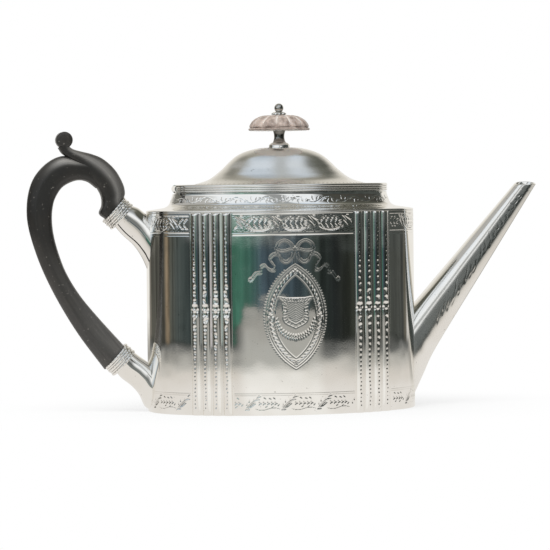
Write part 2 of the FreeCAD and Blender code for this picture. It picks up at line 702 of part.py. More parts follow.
def spout_sections(inset, past_lip):
    def straight(share):
        half_side = (size("spout_lip_width") * (1 - share) + size("spout_knee_width") * share) / 2
        upper = lip_upper + (knee_upper - lip_upper) * share
        lower = lip_lower + (knee_lower - lip_lower) * share
        return section_between(upper, lower, half_side, inset)

    root = section_between(root_upper, root_lower, size("spout_root_width") / 2, inset)
    return [straight(-past_lip), straight(0.5), straight(1), root]


spout_tube = cut("spout_tube", lofted("spout_outside", spout_sections(0, 0)),
                 lofted("spout_bore", spout_sections(size("spout_gauge"), 0.02)))
finish(cut("spout", spout_tube, body_column), "spout")

# Handle sockets: sleeve under the collar, then a taper that spreads onto the end of the body

slope = math.radians(size("socket_slope"))
socket_axis = Vector(math.cos(slope), 0, -math.sin(slope))
socket_across = Vector(math.sin(slope), 0, math.cos(slope))
socket_turn = Rotation(Vector(0, 1, 0), 90 + size("socket_slope"))


def socket_mouth(level):
    return flat_point(number_of(MOUTH_X), number_of(level))


def socket_rod(name, level, radius, length):
    """A cylinder from the socket's mouth along its axis."""
    rod = doc.addObject("Part::Cylinder", name)
    rod.Placement = Placement(socket_mouth(level), socket_turn)
    rod.setExpression("Placement.Base.x", MOUTH_X)
    rod.setExpression("Placement.Base.z", level)
    rod.setExpression("Radius", radius)
    rod.setExpression("Height", length)
    return rod


def socket(which, level, root_level, root_half_height):
    """Socket, collar and pin at one end of the handle."""
    mouth = socket_mouth(level)
    waist_centre = mouth + socket_axis * size("socket_waist_run") - UP * size("socket_waist_drop")
    waist_across = (socket_across + UP).normalize()
    taper = lofted(f"{which}_taper", [
        section(mouth + socket_axis * size("collar_length"), socket_across,
                size("socket_radius"), size("socket_radius")),
        section(waist_centre, waist_across,
                size("socket_waist_half_height"), size("socket_waist_half_width")),
        section(flat_point(OVERCUT - body_end, number_of(root_level)), UP,
                size(root_half_height), size("socket_root_half_width")),
    ])
    sleeve = socket_rod(f"{which}_sleeve", level, "Sizes.sleeve_radius",
                        "Sizes.collar_length + Sizes.wall_gauge")
    outside = cut(f"{which}_outside", fuse(f"{which}_blank", [sleeve, taper]), body_column)
    bore = socket_rod(f"{which}_bore", level, "Sizes.tenon_radius + Sizes.tenon_clearance",
                      "Sizes.tenon_length + Sizes.tenon_clearance")
    pin_x = f"{MOUTH_X} + Sizes.handle_pin_depth * cos(Sizes.socket_slope)"
    pin_z = f"{level} - Sizes.handle_pin_depth * sin(Sizes.socket_slope)"
    pin_rod = rod_along_y(f"{which}_pin_rod", pin_x, pin_z, "Sizes.handle_pin_radius",
                          "-Sizes.body_half_width", "Sizes.body_half_width")
    hollow = cut(f"{which}_hollow", outside, bore)
    finish(cut(f"{which}_socket", hollow, pin_rod), f"{which}_socket")
    finish(common(f"{which}_handle_pin", pin_rod, outside), f"{which}_handle_pin")

    beads = round(size("collar_bead_count"))
    bead_length = f"Sizes.collar_length / {beads}"
    ring_radius = "(Sizes.sleeve_radius + Sizes.collar_gauge)"
    bead_curve = f"(({bead_length}) ^ 2 / 4 + Sizes.collar_bead_rise ^ 2) / (2 * Sizes.collar_bead_rise)"
    corners = [(ring_radius, f"{index} * {bead_length}", bead_curve) for index in range(beads)]
    corners.append((ring_radius, "Sizes.collar_length"))
    corners.append(("Sizes.sleeve_radius", "Sizes.collar_length"))
    corners.append(("Sizes.sleeve_radius", "0"))
    collar = turned(f"{which}_collar", corners)
    collar.Placement = Placement(mouth, socket_turn)
    finish(collar, f"{which}_collar")
    return pin_rod


upper_pin_rod = socket("upper", UPPER_MOUTH_Z, UPPER_ROOT_Z, "upper_root_half_height")
lower_pin_rod = socket("lower", LOWER_MOUTH_Z, LOWER_ROOT_Z, "lower_root_half_height")

# Handle: from the lower socket a straight run and a wide bend lead up to the back,
# two tighter bends make the arch, and an elbow turns down into the upper socket

lower_mouth = socket_mouth(LOWER_MOUTH_Z)
upper_mouth = socket_mouth(UPPER_MOUTH_Z)
front_radius = size("handle_front_radius")
back_radius = size("handle_back_radius")
front_turn = math.radians(size("handle_front_turn"))
elbow = upper_mouth + Vector(-size("handle_elbow_out"), 0, size("handle_elbow_rise"))
arch_top = elbow + Vector(-math.sin(front_turn), 0, 1 - math.cos(front_turn)) * front_radius
back = arch_top - Vector(1, 0, 1) * back_radius
heading = math.pi - math.radians(size("handle_lower_angle"))
span = back - lower_mouth
# The run and the bend's radius follow from where the limb starts, its heading and where it turns upright
determinant = -math.cos(heading) ** 2 - math.sin(heading) * (math.sin(heading) - 1)
lower_run = (-span.x * math.cos(heading) - span.z * (math.sin(heading) - 1)) / determinant
limb_radius = (span.z * math.cos(heading) - span.x * math.sin(heading)) / determinant


def right_of(angle):
    """Unit vector to the right of a heading in the middle plane."""
    return Vector(math.sin(angle), 0, -math.cos(angle))


def bend(start, start_heading, radius, angle):
    """Where a right-hand bend has come to after turning by an angle."""
    centre = start + right_of(start_heading) * radius
    return centre - right_of(start_heading - angle) * radius


run_end = lower_mouth + Vector(math.cos(heading), 0, math.sin(heading)) * lower_run
limb_turn = heading - math.pi / 2
quarter = math.pi / 2
stations = [
    (lower_mouth, math.pi - slope, "handle_lower_width"),
    (run_end, heading, "handle_limb_width"),
    (bend(run_end, heading, limb_radius, limb_turn / 2), heading - limb_turn / 2, "handle_limb_width"),
    (back, quarter, "handle_back_width"),
    (bend(back, quarter, back_radius, quarter / 2), quarter / 2, "handle_arch_width"),
    (arch_top, 0, "handle_arch_width"),
    (bend(arch_top, 0, front_radius, front_turn / 2), -front_turn / 2, "handle_arch_width"),
    (elbow, -front_turn, "handle_elbow_width"),
    (upper_mouth, -slope, "handle_upper_width"),
]
limb_sections = []
for centre, station_heading, width in stations:
    half_across = size(width) / 2
    half_side = half_across * size("handle_section_ratio")
    limb_sections.append(section(centre, right_of(station_heading), half_across, half_side))
handle_limb = lofted("handle_limb", limb_sections)

thumb_centre = arch_top + Vector(-size("thumb_back"), 0, size("thumb_rise"))
thumb_blank = Part.makeCylinder(size("thumb_radius"), 2 * size("thumb_half_width"),
                                thumb_centre - Vector(0, size("thumb_half_width"), 0), Vector(0, 1, 0))
rims = [edge for edge in thumb_blank.Edges if isinstance(edge.Curve, Part.Circle)]
thumb_roll = doc.addObject("Part::Feature", "thumb_roll")
thumb_roll.Shape = thumb_blank.makeFillet(size("thumb_round"), rims)
neck_half = size("thumb_neck_width") / 2
neck_foot_half = neck_half + size("thumb_neck_spread")
neck_side = Vector(0, size("thumb_half_width") - size("thumb_round"), 0)
neck_foot = flat_point(thumb_centre.x + size("thumb_neck_spread"), arch_top.z)
neck_outline = Part.makePolygon([
    thumb_centre + Vector(-neck_half, 0, 0) - neck_side,
    thumb_centre + Vector(neck_half, 0, 0) - neck_side,
    neck_foot + Vector(neck_foot_half, 0, 0) - neck_side,
    neck_foot + Vector(-neck_foot_half, 0, 0) - neck_side,
    thumb_centre + Vector(-neck_half, 0, 0) - neck_side,
])
thumb_neck = doc.addObject("Part::Feature", "thumb_neck")
thumb_neck.Shape = Part.Face(neck_outline).extrude(neck_side * 2)

upper_tenon = socket_rod("upper_tenon", UPPER_MOUTH_Z, "Sizes.tenon_radius", "Sizes.tenon_length")
lower_tenon = socket_rod("lower_tenon", LOWER_MOUTH_Z, "Sizes.tenon_radius", "Sizes.tenon_length")
solid_handle = fuse("solid_handle", [handle_limb, thumb_roll, thumb_neck, upper_tenon, lower_tenon])
handle_drilled = cut("handle_drilled", solid_handle, upper_pin_rod)
finish(cut("handle", handle_drilled, lower_pin_rod), "handle")

# Build, check and write one file for each piece

doc.recompute()
for item in doc.Objects:
    faults = [state for state in item.State if state in ("Invalid", "Error")]
    if faults:
        raise RuntimeError(f"{item.Label} did not build: {item.State}")
os.makedirs("parts", exist_ok=True)
for label, part in parts.items():
    shape = part.Shape
    if shape.isNull() or not shape.isValid() or not shape.Solids:
        raise RuntimeError(f"{label} has no valid solid")
for label, part in parts.items():
    part.Shape.exportStep(f"parts/{label}.step")
    print(f"{label}: {len(part.Shape.Solids)} solid, {part.Shape.Volume:.1f} mm3")
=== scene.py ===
"""Oval silver teapot with bright-cut engraving, a hinged domed lid and a carved black wooden handle.

Sizes are in millimetres until a mesh is made. +X is the spout, -Y the front and +Z up.
"""
import math
import bmesh
import bpy
import numpy as np
from mathutils import Matrix


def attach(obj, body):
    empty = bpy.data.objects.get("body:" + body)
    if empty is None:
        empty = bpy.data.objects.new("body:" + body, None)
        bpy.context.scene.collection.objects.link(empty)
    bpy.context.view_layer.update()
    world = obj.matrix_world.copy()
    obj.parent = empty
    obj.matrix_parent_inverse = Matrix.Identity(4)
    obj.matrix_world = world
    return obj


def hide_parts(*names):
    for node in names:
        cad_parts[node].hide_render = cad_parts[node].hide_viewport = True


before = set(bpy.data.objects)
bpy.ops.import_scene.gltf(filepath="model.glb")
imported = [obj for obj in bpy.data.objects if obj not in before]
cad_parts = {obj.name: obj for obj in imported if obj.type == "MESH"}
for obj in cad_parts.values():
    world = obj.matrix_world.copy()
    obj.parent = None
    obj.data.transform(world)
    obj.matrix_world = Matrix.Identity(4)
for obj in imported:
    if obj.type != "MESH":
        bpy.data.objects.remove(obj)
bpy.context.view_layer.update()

# Plain panels of the body: sterling silver sheet bent to an oval drum and soldered to the base.
# Each long side carries a bright-cut bow and a pointed oval wreath between two leaf bands;
# the cuts are V grooves that a graver leaves, so they are real grooves in the mesh.
MM = 0.001
HALF_LENGTH = 70.0
HALF_WIDTH = 46.0
END_RADIUS = 34.0
END_CENTRE = HALF_LENGTH - END_RADIUS
SIDE_RADIUS = (END_CENTRE ** 2 + HALF_WIDTH ** 2 - END_RADIUS ** 2) / (2 * (HALF_WIDTH - END_RADIUS))
SIDE_CENTRE = SIDE_RADIUS - HALF_WIDTH
MEETING = math.atan2(SIDE_CENTRE, END_CENTRE)
HALF_SIDE = SIDE_RADIUS * (math.pi / 2 - MEETING)
END_RUN = 2 * END_RADIUS * MEETING
GIRTH = 4 * HALF_SIDE + 2 * END_RUN
WALL_TOP = 102.8
EDGE_ROUNDING = 0.5
PANEL_HALF = 31.4
PANEL_REACH = SIDE_RADIUS * math.asin(PANEL_HALF / SIDE_RADIUS)
REED_HALF_PITCH = 2.8
REED_PITCH = 2 * SIDE_RADIUS * math.asin(REED_HALF_PITCH / SIDE_RADIUS)
REED_COUNT = 4
REED_REACH = PANEL_REACH + REED_COUNT * REED_PITCH
CUT_SLOPE = 0.55
FINE_SLOPE = 0.38
CUT_STEP = 0.26
EDGE_STEP = 0.1
DEEP_CUT = 0.16
# Points of a mesh nearer than this many metres become one, and shorter edges are dropped
MERGE_GAP = 1e-6
STRAY_EDGE = 1e-7
luck = np.random.default_rng(7)


def on_oval(distance, inset=0.0):
    """Place and outward direction on the oval, by the distance round it from the middle of the front."""
    knots = np.cumsum([0, HALF_SIDE, END_RUN, 2 * HALF_SIDE, END_RUN, HALF_SIDE])
    turns = np.array([-math.pi / 2, -MEETING, MEETING, math.pi - MEETING, math.pi + MEETING, 1.5 * math.pi])
    turn = np.interp(np.mod(distance, GIRTH), knots, turns)
    facing = np.stack([np.cos(turn), np.sin(turn)], axis=-1)
    at_end = np.abs(facing[..., 0]) > math.cos(MEETING)
    radius = np.where(at_end, END_RADIUS, SIDE_RADIUS) - inset
    centre_x = np.where(at_end, np.sign(facing[..., 0]) * END_CENTRE, 0)
    centre_y = np.where(at_end, 0, -np.sign(facing[..., 1]) * SIDE_CENTRE)
    place = np.stack([centre_x + radius * facing[..., 0], centre_y + radius * facing[..., 1]], axis=-1)
    return place, facing


def wall_grid(distances, heights, rise):
    """Points of a patch of upright wall; rise is how far each point stands out from the oval."""
    place, facing = on_oval(distances)
    flat = place[None] + facing[None] * rise[..., None]
    level = np.broadcast_to(heights[:, None, None], rise.shape + (1,))
    return np.concatenate([flat, level], axis=-1)


def skin(points, wrap=False):
    """Points and quads of a grid of rows and columns; wrap joins the last column to the first."""
    rows, columns = points.shape[:2]
    index = np.arange(rows * columns).reshape(rows, columns)
    if wrap:
        index = np.concatenate([index, index[:, :1]], axis=1)
    corners = [index[:-1, :-1], index[:-1, 1:], index[1:, 1:], index[1:, :-1]]
    return points.reshape(-1, 3), np.stack(corners, axis=-1).reshape(-1, 4)


def join_skins(name, skins, marks=None, closed=False):
    """A clean mesh from skins in millimetres, with marks on its points; closed turns its faces outwards."""
    starts = np.cumsum([0] + [len(points) for points, quads in skins])
    all_points = np.concatenate([points for points, quads in skins]) * MM
    faces = np.concatenate([quads + start for (points, quads), start in zip(skins, starts)])
    mesh = bpy.data.meshes.new(name)
    mesh.from_pydata(all_points.tolist(), [], faces.tolist())
    for mark, values in (marks or {}).items():
        is_vector = np.size(values) == all_points.size
        layer = mesh.attributes.new(mark, "FLOAT_VECTOR" if is_vector else "FLOAT", "POINT")
        flat_values = np.ascontiguousarray(values, np.float32).ravel()
        layer.data.foreach_set("vector" if is_vector else "value", flat_values)
    work = bmesh.new()
    work.from_mesh(mesh)
    bmesh.ops.remove_doubles(work, verts=work.verts, dist=MERGE_GAP)
    bmesh.ops.dissolve_degenerate(work, edges=work.edges, dist=STRAY_EDGE)
    if closed:
        bmesh.ops.recalc_face_normals(work, faces=work.faces)
    work.to_mesh(mesh)
    work.free()
    return mesh


def dress(mesh, finish, body, nodes=(), crease=40):
    """A piece from a finished mesh, riding on a body and standing for CAD nodes."""
    mesh.shade_smooth()
    mesh.set_sharp_from_angle(angle=math.radians(crease))
    if finish.name not in mesh.materials:
        mesh.materials.append(finish)
    piece = bpy.data.objects.new(mesh.name, mesh)
    bpy.context.scene.collection.objects.link(piece)
    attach(piece, body)
    if nodes:
        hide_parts(*nodes)


def add_piece(name, skins, finish, body, nodes=(), marks=None, crease=40, closed=False):
    """One piece from skins in millimetres, with marks for its material to read."""
    dress(join_skins(name, skins, marks, closed), finish, body, nodes, crease)


def linear(hex_code):
    """An sRGB hex colour as linear RGBA."""
    parts = [int(hex_code[i:i + 2], 16) / 255 for i in (1, 3, 5)]
    return [p / 12.92 if p <= 0.04045 else ((p + 0.055) / 1.055) ** 2.4 for p in parts] + [1.0]


def fill(tree, node, inputs):
    """Set a node's inputs; a socket of another node is linked, and a whole node stands for its first result.
    A colour Mix has its share at input 0 and its colours at 6 and 7."""
    for key, value in inputs.items():
        if isinstance(value, bpy.types.Node):
            value = next(output for output in value.outputs if output.enabled)
        if isinstance(value, bpy.types.NodeSocket):
            tree.links.new(value, node.inputs[key])
        else:
            node.inputs[key].default_value = value


def add_node(tree, kind, inputs=None, stops=(), **settings):
    """Add a node with its inputs and properties; stops are the places and hex colours of a ramp."""
    node = tree.nodes.new(kind)
    for name, value in settings.items():
        setattr(node, name, value)
    fill(tree, node, inputs or {})
    if stops:
        elements = node.color_ramp.elements
        while len(elements) < len(stops):
            elements.new(0.5)
        for element, stop in zip(elements, stops):
            element.position = stop[0]
        for element, stop in zip(elements, stops):
            element.color = linear(stop[1])
    return node


def start_material(name):
    """A new material, its node tree, its shader and the place on the piece that its patterns read."""
    material = bpy.data.materials.new(name)
    material.use_nodes = True
    tree = material.node_tree
    place = add_node(tree, "ShaderNodeTexCoord").outputs["Object"]
    return material, tree, tree.nodes["Principled BSDF"], place


def patches(tree, place, size, detail, start, full, share, base, colour):
    """Mix a colour into a base in patches of a size in millimetres; start and full bound the noise."""
    noise = add_node(tree, "ShaderNodeTexNoise", {
        "Vector": place, "Scale": 1 / (size * MM), "Detail": detail})
    amount = add_node(tree, "ShaderNodeMapRange", {
        "Value": noise, "From Min": start, "From Max": full, "To Min": 0.0, "To Max": share})
    return add_node(tree, "ShaderNodeMix", {0: amount, 6: base, 7: linear(colour)}, data_type="RGBA")


def sterling(name, roughness, dents, pits=0.35):
    """Sterling silver: near-white metal, hand polished, so the shine varies a little and the sheet is
    never quite flat; old cuts and corners hold a brown-grey tarnish that polishing doesn't reach, and the
    same dark colour is painted on some parts as painted shade and painted dark reflections."""
    material, tree, shader, place = start_material(name)
    # Polishing haze in patches about 25 mm across
    haze = add_node(tree, "ShaderNodeTexNoise", {"Vector": place, "Scale": 1 / (25 * MM), "Detail": 3.0})
    gloss = add_node(tree, "ShaderNodeMapRange", {
        "Value": haze, "From Min": 0.3, "From Max": 0.7,
        "To Min": roughness * 0.8, "To Max": roughness * 1.35})
    # Faint warm film left by handling, about 14 mm across, and sparse tarnish specks about 1 mm across
    sheet = patches(tree, place, 14, 4.0, 0.42, 0.75, 0.35, linear("#F7F6F3"), "#E6E1D8")
    sheet = patches(tree, place, 1.6, 1.0, 0.73, 0.8, pits, sheet, "#57514A")
    # The piece's mark mixes in the dark colour: tarnish in cuts and corners, and painted shade and painted
    # dark reflections on the stem, the ball and the reed crowns
    tarnish_and_painted_dark = add_node(tree, "ShaderNodeAttribute", attribute_name="tarnish_and_painted_dark")
    colour = add_node(tree, "ShaderNodeMix", {
        0: tarnish_and_painted_dark.outputs["Fac"], 6: sheet, 7: linear("#4E4A43")}, data_type="RGBA")
    # Shallow dents of a hand-planished sheet, about 16 mm across, and hair scratches under 1 mm
    dent = add_node(tree, "ShaderNodeTexNoise", {"Vector": place, "Scale": 1 / (16 * MM), "Detail": 1.0})
    scratch = add_node(tree, "ShaderNodeTexNoise", {"Vector": place, "Scale": 1 / (0.8 * MM), "Detail": 2.0})
    waved = add_node(tree, "ShaderNodeBump", {"Height": dent, "Strength": dents, "Distance": 1 * MM})
    scratched = add_node(tree, "ShaderNodeBump", {
        "Height": scratch, "Normal": waved, "Strength": 0.02, "Distance": 0.1 * MM})
    fill(tree, shader, {"Base Color": colour, "Metallic": 1.0, "Roughness": gloss, "Normal": scratched})
    return material


bright_silver = sterling("sterling_silver_polished", 0.035, 0.085)


def smooth_line(knots, steps):
    """A smooth line through knots of any dimension, with the same number of steps in each span."""
    knots = np.array(knots, float)
    padded = np.concatenate([2 * knots[:1] - knots[1:2], knots, 2 * knots[-1:] - knots[-2:-1]])
    share = np.linspace(0, 1, steps, endpoint=False)[:, None]
    spans = []
    for before, start, end, after in zip(padded, padded[1:], padded[2:], padded[3:]):
        spans.append(start + 0.5 * share * (
            end - before + share * (
                2 * before - 5 * start + 4 * end - after + share * (3 * (start - end) + after - before))))
    return np.concatenate(spans + [knots[-1:]])


def line(points, width):
    """A graver's line of one width through points of distance and height."""
    return [(along, up, width) for along, up in points]


def leaf(along, up, angle, length, width, bend=0.0):
    """A leaf-shaped cut that swells and tapers, from its stem end; bend bows it to the left."""
    share = np.linspace(0, 1, 7)
    direction = np.array([math.cos(angle), math.sin(angle)])
    left = np.array([-direction[1], direction[0]])
    points = np.array([along, up]) + np.outer(share * length, direction)
    points += np.outer(np.sin(math.pi * share) * bend * length, left)
    widths = 0.1 + width * np.sin(math.pi * share ** 0.75) ** 0.8
    return [(a, u, w) for (a, u), w in zip(points, widths)]


def engrave(along, up, strokes, slope=CUT_SLOPE):
    """Depth of the cuts on a grid: every stroke leaves a V groove as deep as its width allows."""
    depth = np.zeros((len(up), len(along)))
    for stroke in strokes:
        for (a0, u0, w0), (a1, u1, w1) in zip(stroke, stroke[1:]):
            reach = max(w0, w1)
            left, right = np.searchsorted(along, [min(a0, a1) - reach, max(a0, a1) + reach])
            low, high = np.searchsorted(up, [min(u0, u1) - reach, max(u0, u1) + reach])
            if left == right or low == high:
                continue
            da = along[None, left:right] - a0
            du = up[low:high, None] - u0
            run = (a1 - a0) ** 2 + (u1 - u0) ** 2 + 1e-9
            share = np.clip((da * (a1 - a0) + du * (u1 - u0)) / run, 0, 1)
            gap = np.hypot(da - share * (a1 - a0), du - share * (u1 - u0))
            groove = slope * (w0 + share * (w1 - w0) - gap)
            depth[low:high, left:right] = np.maximum(depth[low:high, left:right], groove)
    return depth


def husk_row(start, count, pitch, lean, length, width):
    """A row of paired leaves that open to the right, like the husks of an ear of corn."""
    strokes = []
    for place in start + pitch * np.arange(count):
        strokes.append(leaf(place, 0.1, lean, length, width, 0.2))
        strokes.append(leaf(place, -0.1, -lean, length, width, -0.2))
    return strokes


def oval_band():
    """One length of the upper band: an ear of husks in an oval, then a bundle of slanting leaves, on a
    ground that is dulled with small punch marks."""
    strokes = husk_row(-5.0, 4, 2.6, 0.8, 2.3, 0.32)
    turn = np.linspace(0.02, 0.98, 19) * math.pi
    strokes.append([(-7.0 * math.cos(t), -3.7 * math.sin(t), 0.18 + 0.26 * math.sin(t)) for t in turn])
    strokes.append([(-6.9 * math.cos(t), 3.5 * math.sin(t), 0.2) for t in turn])
    for place in (-4.2, -1.9, 0.5, 2.7):
        strokes.append(leaf(place, 1.9, 0.2, 2.0, 0.24, 0.12))
        strokes.append(leaf(place, -2.0, -0.25, 1.9, 0.22, -0.12))
    strokes.append(leaf(4.6, 0.4, 0.35, 2.3, 0.3, 0.1))
    strokes.append(leaf(4.4, -0.5, -0.5, 2.4, 0.3, -0.1))
    for place, up, length in ((6.3, 3.8, 5.4), (7.6, 3.8, 8.2), (7.0, 1.4, 5.6), (9.4, 2.6, 5.2)):
        strokes.append(leaf(place, up, -0.86, length, 0.4, 0.07))
    for place, up, angle in ((8.9, 3.7, -0.25), (10.4, 0.4, 0.5), (11.4, -1.4, 0.5),
                             (7.6, -1.2, -2.5), (6.6, 0.6, -2.6)):
        strokes.append(leaf(place, up, angle, 2.2, 0.3, 0.14))
    for along in np.arange(-8.8, 9.4, 0.85):
        for up in np.arange(-3.8, 4.0, 0.85):
            a, u = along + luck.uniform(-0.25, 0.25), up + luck.uniform(-0.25, 0.25)
            if (a / 7.4) ** 2 + (u / 3.9) ** 2 > 1:
                strokes.append(line([(a, u), (a + 0.1, u)], 0.2))
    return strokes


def spray_band():
    """One length of the lower band: a rising spray of leaves, a row of husks and a thin waving stem."""
    strokes = []
    for place, up, angle, length, width in ((-7.6, -3.0, 0.68, 8.6, 0.26), (-6.6, -3.1, 0.74, 6.0, 0.36),
                                            (-5.2, -2.3, 0.62, 3.6, 0.3), (-7.8, -3.4, 0.05, 2.6, 0.34),
                                            (-3.0, 1.4, 0.15, 2.8, 0.26), (-2.0, 2.5, 0.35, 2.6, 0.22),
                                            (-4.4, -0.4, 0.1, 2.2, 0.26), (-3.6, 0.5, 1.3, 1.9, 0.22)):
        strokes.append(leaf(place, up, angle, length, width, 0.06))
    for place in (-0.8, 1.3, 3.4, 5.4, 7.2):
        strokes.append(leaf(place, 1.0, -0.7, 2.2, 0.24, -0.14))
        strokes.append(leaf(place, -1.1, 0.7, 1.9, 0.22, 0.14))
    for place, up, angle in ((1.6, 2.9, -0.6), (4.2, 2.5, -0.4), (6.4, 2.9, -0.7),
                             (-5.6, 0.2, 1.5), (-6.6, -1.4, 1.7), (-1.4, 3.0, 0.9),
                             (8.8, -1.6, 0.9), (2.4, -2.2, 0.5), (5.6, -2.4, 0.6)):
        strokes.append(leaf(place, up, angle, 1.6, 0.2, 0.1))
    run = np.linspace(-2.4, 9.8, 15)
    strokes.append([(r, -2.9 - 0.6 * math.sin((r + 2.4) * math.pi / 6.1), 0.17) for r in run])
    return strokes


def repeat_motif(motif, start, end, middle, period=18.4, margin=0.5):
    """The strokes of a motif at every period between two ends; what would be cut off is left out."""
    strokes = []
    for index in range(math.floor(start / period) - 1, math.ceil(end / period) + 2):
        for stroke in motif:
            placed = [(index * period + a, middle + u, w) for a, u, w in stroke]
            if min(p[0] for p in placed) > start + margin and max(p[0] for p in placed) < end - margin:
                strokes.append(placed)
    return strokes


def pointed_oval(inset, shares):
    """Half of the pointed oval frame, by shares of its height from the bottom point to the top."""
    half_wide, half_high, middle = 15.4, 26.5, 49.8
    radius = (half_wide ** 2 + half_high ** 2) / (2 * half_wide)
    offset = radius - half_wide
    reach = math.acos(offset / (radius - inset))
    turn = (np.array(shares) * 2 - 1) * reach
    across = (radius - inset) * np.cos(turn) - offset
    return np.stack([across, middle + (radius - inset) * np.sin(turn)], axis=-1)


def both_halves(half):
    """Strokes of the left half together with their mirror image."""
    return half + [[(-a, u, w) for a, u, w in stroke] for stroke in half]


def bow_cuts():
    """The ribbon bow with its tails and the string of the pointed oval, on one long side."""
    loop = smooth_line([(0.5, 84.0), (-2.0, 87.4), (-5.4, 88.9), (-8.7, 87.5), (-10.2, 85.0), (-8.7, 83.0),
                        (-5.6, 82.7), (-2.0, 83.6), (0.3, 83.8)], 6)
    drop = smooth_line([(0.0, 82.9), (-2.0, 78.6), (-4.6, 76.8), (-7.0, 78.2), (-8.3, 81.0), (-9.9, 83.4)], 6)
    tail = smooth_line([(-8.3, 81.9), (-11.3, 81.9), (-13.2, 79.6), (-11.0, 76.4), (-11.3, 73.8),
                        (-13.8, 74.6), (-15.6, 76.5), (-17.7, 75.5), (-17.9, 72.9), (-20.3, 72.3),
                        (-22.3, 69.6)], 6)
    half = [line(loop, 0.18), line(drop, 0.18), line(tail, 0.18)]
    half.append(line((loop - [-5.2, 85.7]) * 0.7 + [-5.2, 85.7], 0.17))
    half.append(line((drop - [-5.0, 80.2]) * 0.68 + [-5.0, 80.4], 0.17))
    half.append(line(tail + [0.7, -1.1], 0.17))
    half.append(line([(-0.5, 83.0), (-0.5, 74.9)], 0.18))
    for angle in np.linspace(0, 2 * math.pi, 7, endpoint=False):
        half.append(leaf(-22.6, 68.8, angle, 1.3, 0.2))
        half.append(leaf(0.0, 84.2, angle + 0.3, 1.3, 0.2))
    return both_halves(half)


def wreath_cuts():
    """The pointed oval with its wreath, shield and leaf swag, on one long side."""
    half = []
    shares = np.linspace(0, 1, 60)
    for inset, width in ((0.0, 0.19), (1.1, 0.17), (4.6, 0.18)):
        half.append(line(pointed_oval(inset, shares) * [-1, 1], width))
    wreath = pointed_oval(2.8, np.linspace(0.03, 0.97, 23)) * [-1, 1]
    for (a0, u0), (a1, u1) in zip(wreath, wreath[1:]):
        heading = math.atan2(u1 - u0, a1 - a0)
        start = np.array([a0, u0]) + 0.7 * np.array([math.sin(heading), -math.cos(heading)])
        half.append(leaf(start[0], start[1], heading + 0.5, 2.7, 0.34, 0.1))
    for a0, u0 in pointed_oval(-0.3, np.linspace(0.1, 0.9, 37)) * [-1, 1]:
        half.append(leaf(a0, u0, 2.4, 0.8, 0.08))
    for centre in (pointed_oval(2.8, [0.5])[0] * [-1, 1], (0.0, 26.9), (0.0, 72.8)):
        for angle in np.linspace(0, 2 * math.pi, 6, endpoint=False):
            half.append(leaf(centre[0], centre[1], angle, 1.6, 0.32))
    # A plain shield with a hatched border hangs over a swag of leaves
    edge = smooth_line([(0.0, 59.2), (-4.6, 59.2), (-9.0, 59.8), (-6.9, 57.2), (-6.4, 52.0), (-5.6, 47.2),
                        (0.0, 44.0)], 6)
    inner = (edge - [0, 52.0]) * [0.7, 0.74] + [0, 52.0]
    half.append(line(edge, 0.2))
    half.append(line(inner, 0.17))
    for outside, inside in zip(edge[1::2], inner[1::2]):
        half.append(line([outside, inside], 0.18))
    for level in np.arange(47.4, 57.0, 0.9):
        reach = np.interp(level, inner[::-1, 1], -inner[::-1, 0]) - 0.6
        half.append(line([(0.0, level), (-max(reach, 0.2), level + 0.5 * reach)], 0.13))
    swag = smooth_line([(-9.4, 47.6), (-7.2, 42.9), (-3.6, 40.2), (0.0, 39.3)], 6)
    half.append(line(swag, 0.17))
    for a0, u0 in swag[::2]:
        half.append(leaf(a0, u0, 1.5, 1.8, 0.26, 0.15))
        half.append(leaf(a0, u0, -1.8, 1.7, 0.26, -0.15))
    return both_halves(half)


def border_band(motif, middle, rules, start, end):
    """One band of leaf work on a stretch of wall, with its ruled lines of height and width."""
    strokes = repeat_motif(motif, start, end, middle)
    for level, width in rules:
        strokes.append(line([(start + 0.4, level), (end - 0.4, level)], width))
    return strokes


def rounded_edges(heights, radius=EDGE_ROUNDING):
    """How far the wall draws in at its top and bottom edges."""
    past = np.maximum(radius - heights, heights - (WALL_TOP - radius)).clip(0, radius)
    return radius - np.sqrt(radius ** 2 - past ** 2)


def tarnish(depth, share, full_depth=DEEP_CUT):
    """Tarnish left in cuts by their depth, up to the given share in those of full depth."""
    return np.clip(depth / full_depth, 0, 1) * share


def add_wall_patch(name, middle, reach, columns, heights, strokes, fine_strokes):
    """One plain stretch of wall round its middle, with bold and fine cuts by distance from that middle."""
    along = np.linspace(-reach, reach, columns)
    depth = np.maximum(engrave(along, heights, strokes), engrave(along, heights, fine_strokes, FINE_SLOPE))
    rise = -depth - rounded_edges(heights)[:, None]
    # The cuts near the foot are cleaned least
    marks = {"tarnish_and_painted_dark": tarnish(depth, np.interp(heights, [10, 30], [0.6, 0.32])[:, None])}
    add_piece(name, [skin(wall_grid(middle + along, heights, rise))], bright_silver, "pot",
              ["body_wall"], marks, crease=30)


# Rows of the mesh lie close together where there are cuts or a rounded edge, and wide apart elsewhere
LOWER_BAND_MIDDLE, LOWER_BAND_TOP = 6.5, 12.0
UPPER_BAND_FOOT, UPPER_BAND_MIDDLE = 90.6, 97.0
WREATH_FOOT = 21.0
EDGE_TOP = WALL_TOP - EDGE_ROUNDING
PANEL_COLUMNS, END_COLUMNS = 246, 290
low_edge = np.arange(0, EDGE_ROUNDING, EDGE_STEP)
low_band = np.arange(EDGE_ROUNDING, LOWER_BAND_TOP, CUT_STEP)
top_edge = np.linspace(EDGE_TOP, WALL_TOP, 6)
panel_heights = np.concatenate([
    low_edge, low_band, np.arange(LOWER_BAND_TOP, WREATH_FOOT, 1.0),
    np.arange(WREATH_FOOT, EDGE_TOP, CUT_STEP), top_edge])
plain_heights = np.concatenate([
    low_edge, low_band, np.arange(LOWER_BAND_TOP, UPPER_BAND_FOOT, 2.0),
    np.arange(UPPER_BAND_FOOT, EDGE_TOP, CUT_STEP), top_edge])
upper_motif = oval_band()
lower_motif = spray_band()
